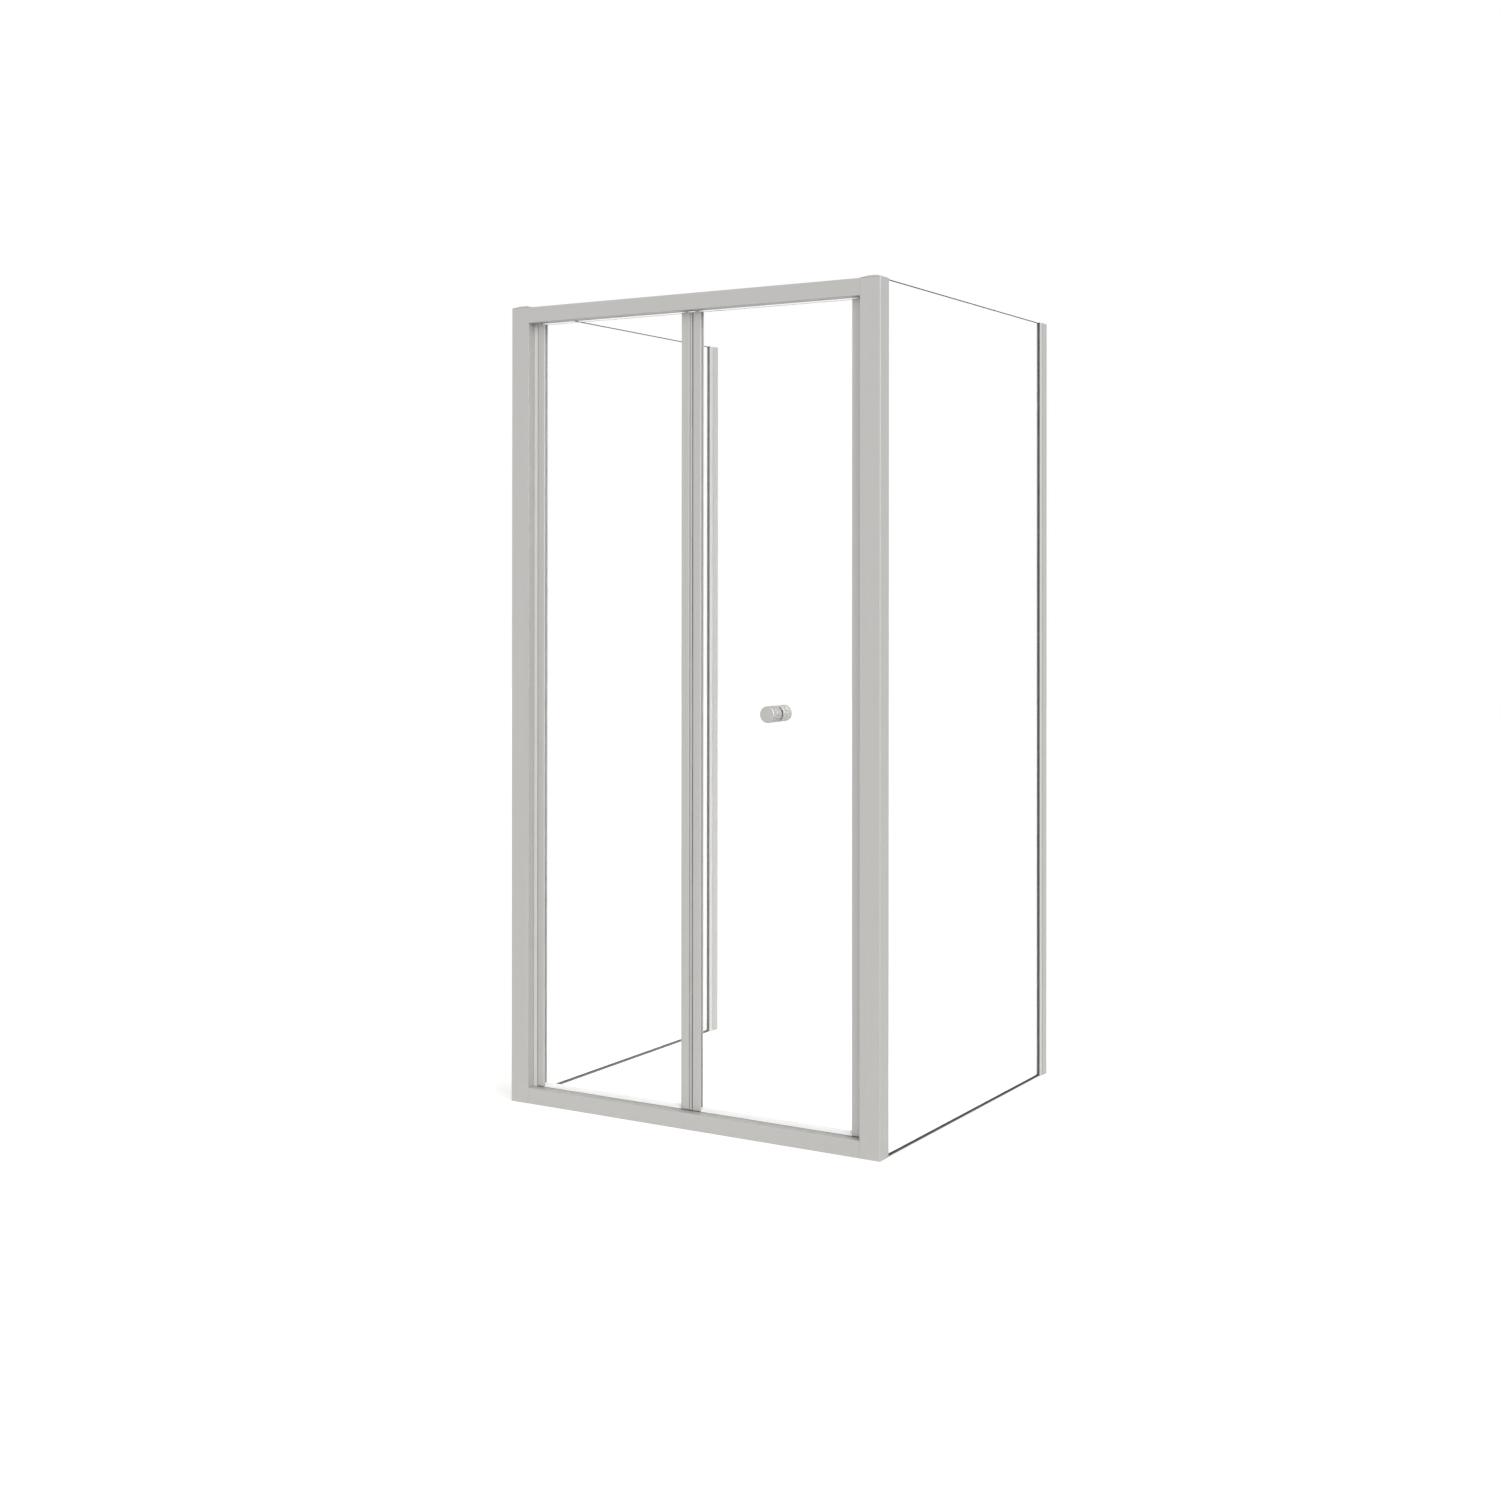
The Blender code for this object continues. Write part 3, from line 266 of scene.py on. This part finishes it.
def surface(name, sockets):
    """A new material with one Principled shader, and its node tree."""
    material = bpy.data.materials.new(name)
    material.use_nodes = True
    tree = material.node_tree
    tree.nodes.clear()
    shader = add(tree, "BsdfPrincipled", sockets)
    add(tree, "OutputMaterial", {"Surface": shader.outputs["BSDF"]})
    return material, tree, shader


def spread_out(tree, noise):
    """A noise texture's pattern, spread over the whole range from 0 to 1."""
    low, high = NOISE_SPAN
    ends = {"Value": noise.outputs["Fac"], "From Min": low, "From Max": high}
    return add(tree, "MapRange", ends).outputs["Result"]


def grains(tree, sizes, detail=2):
    """A pattern from 0 to 1 whose grains have these sizes along X, Y and Z, in metres."""
    place = add(tree, "TexCoord").outputs["Object"]
    scaled = add(tree, "Mapping", {"Vector": place, "Scale": [1 / size for size in sizes]})
    pattern = {"Vector": scaled.outputs["Vector"], "Scale": 1, "Detail": detail}
    return spread_out(tree, add(tree, "TexNoise", pattern))


def varied(tree, shader, tones=None, gloss=None, relief=None):
    """Lets patterns vary a finish.

    tones and gloss are (pattern, low, high), and relief is (pattern, depth).
    """
    if tones:
        pattern, darker, lighter = tones
        # A colour mix has its share at socket 0, its colours at 6 and 7, and its result at 2.
        shades = {0: pattern, 6: linear(darker), 7: linear(lighter)}
        colour = add(tree, "Mix", shades, data_type="RGBA").outputs[2]
        tree.links.new(colour, shader.inputs["Base Color"])
    if gloss:
        pattern, low, high = gloss
        roughness = add(tree, "MapRange", {"Value": pattern, "To Min": low, "To Max": high})
        tree.links.new(roughness.outputs["Result"], shader.inputs["Roughness"])
    if relief:
        pattern, depth = relief
        bump = add(tree, "Bump", {"Height": pattern, "Distance": depth})
        tree.links.new(bump.outputs["Normal"], shader.inputs["Normal"])


def let_lamps_through(tree, shader):
    """Lamps shine straight through: what bends light on its way in bends it back on its way out."""
    path = add(tree, "LightPath")
    clear = add(tree, "BsdfTransparent")
    ways = {0: path.outputs["Is Shadow Ray"], 1: shader.outputs["BSDF"], 2: clear.outputs["BSDF"]}
    mix = add(tree, "MixShader", ways)
    output = next(node for node in tree.nodes if node.type == "OUTPUT_MATERIAL")
    tree.links.new(mix.outputs["Shader"], output.inputs["Surface"])


def anodised_aluminium(name, along, darker, lighter):
    """Extruded aluminium, etched and anodised: even satin silver with faint lines along the bar."""
    # The oxide layer scatters part of the light, so it is less of a mirror than bare metal.
    material, tree, shader = surface(name, {"Metallic": 0.45, "Roughness": 0.45})
    # The die leaves lines of a few hundredths of a millimetre; drawn 2 mm wide, so that they show.
    widths = [2 * MM] * 3
    widths[along] = 700 * MM
    lines = grains(tree, widths)
    # The etch leaves a fine even grain, drawn here at 0.6 mm.
    etch = grains(tree, [0.6 * MM] * 3)
    varied(tree, shader, (lines, darker, lighter), (lines, 0.42, 0.48), (etch, 0.004 * MM))
    return material


def turned_aluminium(name, centre, darker, lighter):
    """Aluminium turned on a lathe and anodised: close rings about an axis along Y."""
    material, tree, shader = surface(name, {"Metallic": 0.45})
    place = add(tree, "TexCoord").outputs["Object"]
    from_axis = {0: place, 1: (centre[X], 0, centre[Z])}
    moved = add(tree, "VectorMath", from_axis, operation="SUBTRACT").outputs["Vector"]
    flattened = {0: moved, 1: (1, 0, 1)}
    flat = add(tree, "VectorMath", flattened, operation="MULTIPLY").outputs["Vector"]
    radius = add(tree, "VectorMath", {0: flat}, operation="LENGTH").outputs["Value"]
    depth = add(tree, "SeparateXYZ", {"Vector": place}).outputs["Y"]
    spot = add(tree, "CombineXYZ", {"X": radius, "Y": depth}).outputs["Vector"]
    # The tool feeds about 0.1 mm a turn; its rings are drawn 1 mm apart, so that they show.
    feed = {"Vector": spot, "Scale": 1 / (1 * MM)}
    rings = spread_out(tree, add(tree, "TexNoise", feed, noise_dimensions="2D"))
    varied(tree, shader, (rings, darker, lighter), (rings, 0.38, 0.46), (rings, 0.006 * MM))
    return material


def stainless_steel(name):
    """Stainless steel, turned or rolled: brighter than the aluminium, with close tool marks."""
    material, tree, shader = surface(name, {"Metallic": 1.0})
    # Tool marks, drawn at 0.5 mm.
    marks = grains(tree, [0.5 * MM] * 3)
    varied(tree, shader, (marks, "BEBEBC", "CACAC8"), (marks, 0.24, 0.34), (marks, 0.003 * MM))
    return material


def moulded(name, darker, lighter, roughness, skin_size):
    """Moulded or extruded plastic or rubber: faintly cloudy, with the fine skin of its tool."""
    material, tree, shader = surface(name, {"IOR": 1.5})
    # The colour drifts over a few centimetres, as the melt flowed.
    clouds = grains(tree, [40 * MM] * 3)
    tool_skin = grains(tree, [skin_size] * 3)
    gloss = (tool_skin, roughness - GLOSS_SWING, roughness + GLOSS_SWING)
    varied(tree, shader, (clouds, darker, lighter), gloss, (tool_skin, 0.01 * MM))
    return material


def float_glass(name):
    """Toughened float glass: clear and flat, with the faintest waves from the furnace rollers."""
    sockets = {
        "Base Color": linear("FFFFFF"),
        "Roughness": 0.0,
        "IOR": 1.52,
        "Transmission Weight": 1.0,
    }
    material, tree, shader = surface(name, sockets)
    # The rollers' waves are about 250 mm long.
    waves = grains(tree, [250 * MM] * 3, detail=0)
    varied(tree, shader, relief=(waves, 0.02 * MM))
    let_lamps_through(tree, shader)
    return material


def ground_edge_and_shade(name):
    """Float glass left matt by the grinding belt.

    The iron in the glass, seen along the pane, makes this edge a dark green-grey; its colour is
    painted darker still, near black, as painted shade along the edge.
    """
    material, tree, shader = surface(name, {"IOR": 1.52, "Specular IOR Level": 0.15})
    # Marks of the grinding belt, drawn 1.5 mm apart.
    marks = grains(tree, [1.5 * MM] * 3)
    # Near-black tones: the edge's own green-grey, painted darker as painted shade.
    varied(tree, shader, (marks, "1A2621", "222F2A"), (marks, 0.7, 0.8), (marks, 0.01 * MM))
    return material


def polished_edge(name):
    """Float glass with its edge polished clear: a trace of green, and the faintest wheel marks."""
    material, tree, shader = surface(name, {"IOR": 1.52, "Transmission Weight": 1.0})
    # Marks of the polishing wheel, drawn 1.5 mm apart.
    marks = grains(tree, [1.5 * MM] * 3)
    varied(tree, shader, (marks, "EAF2EE", "F2F8F5"), (marks, 0.04, 0.08), (marks, 0.002 * MM))
    let_lamps_through(tree, shader)
    return material


def clear_vinyl(name):
    """Soft clear vinyl, extruded: half see-through, milky from the skin that the die left."""
    sockets = {"Base Color": linear("F8F8F7"), "IOR": 1.5, "Transmission Weight": 0.55}
    material, tree, shader = surface(name, sockets)
    # The die's skin, drawn at 1 mm.
    die_skin = grains(tree, [1 * MM] * 3)
    varied(tree, shader, None, (die_skin, 0.32, 0.38), (die_skin, 0.003 * MM))
    let_lamps_through(tree, shader)
    return material


# Pieces finished beyond the CAD's solids


def pane(node, through, profile, edge, hole=None):
    """A pane, thin along the axis called through, with dubbed corners.

    Its edges, and that of its hole, are worked to a profile that runs from face to face.
    """
    low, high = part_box(node)
    across = Y if through == X else X
    worked = profile[0][0]
    corners = (low[across], low[Z]), (high[across], high[Z])
    inset = [[value + sign * worked for value in corner] for sign, corner in zip((1, -1), corners)]
    radii = [DUBBED_CORNER] * 4
    borders = [(rounded(*corners, radii), rounded(*inset, radii))]
    if hole:
        borders.append([arc(hole, GLASS_HOLE + ease, 0, 360, ROUND)[:-1] for ease in (0, worked)])
    cage = bmesh.new()
    faces = ([], [])
    for outer, inner in borders:
        loops = []
        for inward, depth in profile:
            share = inward / worked
            loop = []
            for (u, v), (inner_u, inner_v) in zip(outer, inner):
                point = [v + share * (inner_v - v)] * 3
                point[across], point[through] = u + share * (inner_u - u), low[through] + depth
                loop.append(cage.verts.new(point))
            loops.append(loop)
        for lower, upper in zip(loops, loops[1:]):
            strip(cage, lower, upper, slot=1)
        for face, loop in zip(faces, (loops[0], loops[-1])):
            face += [cage.edges.get((loop[i - 1], corner)) for i, corner in enumerate(loop)]
    for edges in faces:
        bmesh.ops.triangle_fill(cage, edges=edges, use_beauty=True)
    mesh = finished(cage)
    for face in mesh.polygons:
        face.use_smooth = face.material_index == 1
    in_place_of(node, mesh, GLASS, edge)


def post_cap(node, post, side):
    """A cap that swells from the post's edges to a flat crown, with its plug in the post."""
    low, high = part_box(node)
    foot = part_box(post)[1][Z] + SEAM
    rise = high[Z] - foot - CAP_RIM
    # Radii of the corners, anticlockwise from the front left.
    edges = [POST_EDGE, JOINT_EDGE, JOINT_EDGE, LIP_EDGE]
    if side == RIGHT:
        edges = [JOINT_EDGE, POST_EDGE, LIP_EDGE, JOINT_EDGE]
    left_plug, right_plug = CAP_PLUG[::side]
    plug_low = (low[X] + left_plug, low[Y] + CAP_PLUG_SIDE)
    plug_high = (high[X] - right_plug, high[Y] - CAP_PLUG_SIDE)
    plug = rounded(plug_low, plug_high, [LIP_EDGE] * 4)

    def outline(height, share, shrink=0.0):
        """The cap at a height, as a share of the way from its foot to its crown."""
        inset = [share * flank + shrink for flank in CAP_FLANK]
        near = [low[i] + inset[i] for i in (X, Y)]
        far = [high[i] - inset[i] for i in (X, Y)]
        radii = [edge + share * CAP_SOFTENING for edge in edges]
        return [(x, y, height) for x, y in rounded(near, far, radii)]

    rings = [[(x, y, height) for x, y in plug] for height in (low[Z], foot)]
    rings.append(outline(foot, 0, CAP_RIM / 2))
    for step in range(CAP_STEPS + 1):
        share = step / CAP_STEPS
        swell = math.sin(math.pi / 2 * share) ** CAP_SWELL
        rings.append(outline(foot + CAP_RIM + rise * swell, share))
    in_place_of(node, skin(rings), CAST_METAL)


def knob(node, outward):
    """A turned knob with a crowned face and a groove before its collar, on a narrower neck.

    The stud of the inner one reaches through the glass into the bore of the outer one.
    """
    low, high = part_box(node)
    radius = (high[X] - low[X]) / 2
    end = KNOB_STANDOFF + KNOB_LENGTH
    flat = radius - KNOB_RIM
    profile = [(share * flat, end - KNOB_CROWN * share**2) for share in KNOB_FACE_RINGS]
    profile += arc((flat, end - KNOB_CROWN - KNOB_RIM), KNOB_RIM, 90, 0)
    profile += arc((radius, end - KNOB_GROOVE_PLACE), KNOB_GROOVE, 90, 270)
    back = (radius - KNOB_BACK_RIM, KNOB_STANDOFF + KNOB_BACK_RIM)
    profile += arc(back, KNOB_BACK_RIM, 0, -90)
    neck = (NECK_RADIUS + NECK_FILLET, KNOB_STANDOFF - NECK_FILLET)
    profile += arc(neck, NECK_FILLET, 90, 180)
    profile.append((NECK_RADIUS, NECK_FOOT))
    if outward > 0:
        profile += [(STUD, NECK_FOOT), (STUD, -STUD_REACH), (STUD / FLAT_END, -STUD_REACH)]
    else:
        bore, floor = STUD + SEAM, NECK_FOOT + STUD_BORE
        profile += [(bore, NECK_FOOT), (bore, floor), (bore / FLAT_END, floor)]
    in_place_of(node, turned(profile, KNOB_CENTRE, outward), TURNED_METAL)


def knob_washer(node, outward):
    """A flat washer with rounded edges, whose spigot lines the hole in the glass."""
    low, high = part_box(node)
    radius = (high[X] - low[X]) / 2
    near = GLASS_HALF + SEAM
    far = near + WASHER
    bore, spigot = STUD + SEAM, GLASS_HOLE - SEAM
    profile = [(bore, far)] + arc((radius - WASHER_EDGE, far - WASHER_EDGE), WASHER_EDGE, 90, 0)
    profile += arc((radius - WASHER_EDGE, near + WASHER_EDGE), WASHER_EDGE, 0, -90)
    profile += [(spigot, near), (spigot, SEAM / 2), (bore, SEAM / 2)]
    in_place_of(node, turned(profile, KNOB_CENTRE, outward, endless=True), WASHER_RUBBER)


def gasket(node, through, mouth, material, flanged=False):
    """A strip wrapped round an edge of the glass, with soft lips at its mouth that lean on it.

    through is the axis across the glass, and mouth is the end of the other axis with the lips.
    """
    low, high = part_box(node)
    along = Y if through == X else X
    middle = (low[through] + high[through]) / 2
    half = (high[through] - low[through]) / 2
    depth = high[along] - low[along]
    leg = half - FLANGE_OVERHANG if flanged else half
    lining, contact = GLASS_HALF + SEAM, GLASS_HALF + LIP_CONTACT
    section = [(lining, depth - GASKET_LEG), (lining, LIP_ROOT)]
    section += arc((contact + BEAD, BEAD), BEAD, 180, 270)
    section += arc((half - BEAD, BEAD), BEAD, 270, 360)
    if flanged:
        section += [(half, FLANGE), (leg, FLANGE)]
    section.append((leg, depth))
    section += [(-offset, inward) for offset, inward in reversed(section)]
    outline = []
    for offset, inward in section:
        point = [0, 0]
        point[through] = middle + offset
        point[along] = low[along] + inward if mouth < 0 else high[along] - inward
        outline.append(point)
    in_place_of(node, extruded(outline, Z, low[Z], high[Z]), material)


def drip_seal(node):
    """A clear seal pushed on to the bottom of a pane, with a thin curved blade on each side."""
    low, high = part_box(node)
    foot, top = low[Z], high[Z]
    base = foot + SEAL_BASE
    lining = GLASS_HALF + SEAM
    leg = lining + GASKET_LEG
    tip = GASKET_LEG / 2

    def blade(side, reach):
        """From the leg down the blade to its tip, and back along its underside to the base."""
        above = [(leg + reach * (1 - math.cos(t)), base - SEAL_BASE * math.sin(t)) for t in QUARTER]
        under = []
        for i, (y, z) in enumerate(above):
            under.append((y - BLADE, max(z - BLADE * (1 - i / ARC), foot)))
        return [(DOOR_MIDDLE + side * y, z) for y, z in above + under[::-1]]

    front, back = blade(-1, DOOR_MIDDLE - leg - low[Y]), blade(1, high[Y] - DOOR_MIDDLE - leg)
    front_tip, back_tip = (
        arc((DOOR_MIDDLE + side * (lining + tip), top - tip), tip, 180, 0) for side in (-1, 1)
    )
    channel = [(DOOR_MIDDLE - lining, base), (DOOR_MIDDLE + lining, base)]
    outline = front[::-1] + front_tip + channel + back_tip + back
    in_place_of(node, extruded(outline, X, low[X], high[X]), CLEAR_VINYL)


def bottom_seal(node):
    """The strip under a side glass, with two grooves along each side that let it give."""
    low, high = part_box(node)
    section = [(low[X], low[Z]), (high[X], low[Z])]
    grooves = [low[Z] + share * (high[Z] - low[Z]) for share in FOOT_GROOVE_HEIGHTS]
    for height in grooves:
        section += arc((high[X], height), FOOT_GROOVE, 270, 90)
    section += [(high[X], high[Z]), (low[X], high[Z])]
    for height in grooves[::-1]:
        section += arc((low[X], height), FOOT_GROOVE, 90, -90)
    in_place_of(node, extruded(section, Y, low[Y], high[Y]), SEAL_RUBBER)


def ease_edges(piece):
    """Rounds a solid's sharp edges a little, as the die, the mould or deburring leaves them."""
    joined = piece.modifiers.new("joined", "WELD")
    joined.merge_threshold = WELD
    eased = piece.modifiers.new("eased edges", "BEVEL")
    eased.width = EASING
    eased.segments = EASING_STEPS
    eased.limit_method = "ANGLE"
    eased.angle_limit = SHARP
    eased.use_clamp_overlap = False
    eased.harden_normals = True


# The room: white all round, with a pale floor that keeps the shadow


def seen_directly(tree):
    """1 where the camera looks, also by way of metal or through glass, else 0."""
    path = add(tree, "LightPath")
    seen = path.outputs["Is Camera Ray"]
    for kind in ("Is Glossy Ray", "Is Transmission Ray"):
        either = {0: seen, 1: path.outputs[kind]}
        seen = add(tree, "Math", either, operation="MAXIMUM").outputs["Value"]
    return seen


def white_studio():
    """A world that lights softly from all sides and is white to the eye."""
    world = bpy.data.worlds.new("white studio")
    world.use_nodes = True
    bpy.context.scene.world = world
    tree = world.node_tree
    tree.nodes.clear()
    ends = {"Value": seen_directly(tree), "To Min": AMBIENT, "To Max": 1.0}
    strength = add(tree, "MapRange", ends).outputs["Result"]
    sky = add(tree, "Background", {"Color": WHITE, "Strength": strength})
    add(tree, "OutputWorld", {"Surface": sky.outputs["Background"]})


def floor():
    """A pale matt floor, lifted to white for the eye wherever no shadow falls."""
    material, tree, shader = surface("matt floor paint", {"Roughness": 0.9})
    # The paint roller leaves a fine stipple, drawn at 6 mm.
    stipple = grains(tree, [6 * MM] * 3)
    varied(tree, shader, (stipple, "E7E7E5", "EBEBE9"), relief=(stipple, 0.02 * MM))
    lift = add(tree, "Math", {0: seen_directly(tree), 1: FLOOR_LIFT}, operation="MULTIPLY")
    shader.inputs["Emission Color"].default_value = WHITE
    tree.links.new(lift.outputs["Value"], shader.inputs["Emission Strength"])
    half = FLOOR_SIZE / 2
    corners = [(x * half, y * half, 0) for x, y in ((-1, -1), (1, -1), (1, 1), (-1, 1))]
    mesh = bpy.data.meshes.new("studio_floor")
    mesh.from_pydata(corners, [], [(0, 1, 2, 3)])
    mesh.materials.append(material)
    piece = placed("studio_floor", mesh)


def lamp(name, bearing, elevation, radiance, spread):
    """A soft far lamp, its bearing counted from -Y towards +X.

    A white surface that faces it gets this radiance.
    """
    light = bpy.data.lights.new(name, "SUN")
    light.energy = radiance * math.pi
    light.angle = math.radians(spread)
    across, up = math.radians(bearing), math.radians(elevation)
    level = math.cos(up)
    towards = Vector((level * math.sin(across), -level * math.cos(across), math.sin(up)))
    source = placed(name, light)
    source.rotation_euler = towards.to_track_quat("Z", "Y").to_euler()


def camera():
    """The photograph's viewpoint."""
    lens = bpy.data.cameras.new("camera")
    lens.lens = CAMERA_LENS
    lens.shift_y = CAMERA_SHIFT
    eye = placed("camera", lens)
    eye.location = CAMERA_PLACE
    eye.rotation_euler = CAMERA_TURN
    bpy.context.scene.camera = eye


# The enclosure's finishes and pieces

# The caps are cast and the knobs turned, and both are anodised to the profiles' satin silver.
SATIN = ("B7B5B3", "BBB9B7")
UPRIGHT_METAL = anodised_aluminium("anodised aluminium uprights", Z, *SATIN)
RAIL_METAL = anodised_aluminium("anodised aluminium rails", X, *SATIN)
# The glass profiles get the satin anodising painted lighter: a painted highlight on their side
# faces, not a finish of their own.
HIGHLIGHT_METAL = anodised_aluminium("anodised aluminium lightened as a painted highlight", Z, "CAC9C7", "CECDCB")
CAST_METAL = anodised_aluminium("satin cast aluminium", Y, *SATIN)
TURNED_METAL = turned_aluminium("turned anodised aluminium", KNOB_CENTRE, *SATIN)
STEEL = stainless_steel("stainless steel")
GLASS = float_glass("toughened float glass")
# The side panes' ground edges are painted near black, darker than the glass's own tint, as painted
# shade.
GROUND_EDGE_AND_SHADE = ground_edge_and_shade("ground glass edge with painted shade")
POLISHED_EDGE = polished_edge("polished glass edge")
JAMB_VINYL = moulded("pale rigid vinyl", "C5C4C2", "C9C8C6", 0.42, 1.5 * MM)
GASKET_VINYL = moulded("grey glazing vinyl", "888886", "8E8E8C", 0.5, 1 * MM)
WALL_RUBBER = moulded("grey gasket rubber", "50504F", "565655", 0.55, 1 * MM)
SEAL_RUBBER = moulded("dark seal rubber", "585857", "5E5E5D", 0.6, 1 * MM)
WASHER_RUBBER = moulded("dark washer rubber", "4A4A49", "50504F", 0.6, 1 * MM)
HINGE_POLYMER = moulded("grey hinge polymer", "A6A5A3", "ACABA9", 0.45, 1 * MM)
NYLON = moulded("grey nylon", "8C8C8A", "929290", 0.4, 1 * MM)
MAGNET_STRIP = moulded("magnetic strip", "5A5A59", "60605F", 0.5, 1 * MM)
CLEAR_VINYL = clear_vinyl("clear vinyl")

# CAD nodes that keep their shape, by how their names end
KEPT_SHAPES = {
    "corner_post": UPRIGHT_METAL,
    "_stile": UPRIGHT_METAL,
    "wall_channel": UPRIGHT_METAL,
    "strike_jamb": UPRIGHT_METAL,
    "glass_profile": HIGHLIGHT_METAL,
    "_rail": RAIL_METAL,
    "pivot_jamb": JAMB_VINYL,
    "hinge_strip": HINGE_POLYMER,
    "centre_seal": HINGE_POLYMER,
    "_screw": STEEL,
    "_pin": STEEL,
    "hinge_rod": STEEL,
    "_roller": NYLON,
    "pivot_block": NYLON,
    "stile_cap": NYLON,
    "_magnet": MAGNET_STRIP,
}
for node, piece in frame["nodes"].items():
    for ending, material in KEPT_SHAPES.items():
        if node.endswith(ending):
            piece.data.materials.clear()
            piece.data.materials.append(material)
            ease_edges(piece)

for side, word in ((LEFT, "left"), (RIGHT, "right")):
    pane(f"{word}_side_glass", X, PENCIL_EDGE, GROUND_EDGE_AND_SHADE)
    post_cap(f"{word}_post_cap", f"{word}_corner_post", side)
    gasket(f"{word}_post_gasket", X, 1, GASKET_VINYL)
    gasket(f"{word}_wall_gasket", X, -1, WALL_RUBBER, flanged=True)
    bottom_seal(f"{word}_bottom_seal")

for leaf, hole in (("leaf_a", None), ("leaf_b", (KNOB_CENTRE[X], KNOB_CENTRE[Z]))):
    pane(f"{leaf}_glass", Y, ARRISED_EDGE, POLISHED_EDGE, hole)
for side, leaf in ((LEFT, "leaf_a"), (RIGHT, "leaf_b")):
    gasket(f"{leaf}_hinge_gasket", Y, side, GASKET_VINYL)
    gasket(f"{leaf}_end_gasket", Y, -side, GASKET_VINYL)
    drip_seal(f"{leaf}_drip_seal")

for word, outward in (("outer", -1), ("inner", 1)):
    knob(f"{word}_knob", outward)
    knob_washer(f"{word}_knob_washer", outward)

white_studio()
floor()
lamp("key", **KEY_LAMP)
camera()
bpy.context.scene.view_settings.view_transform = "Standard"
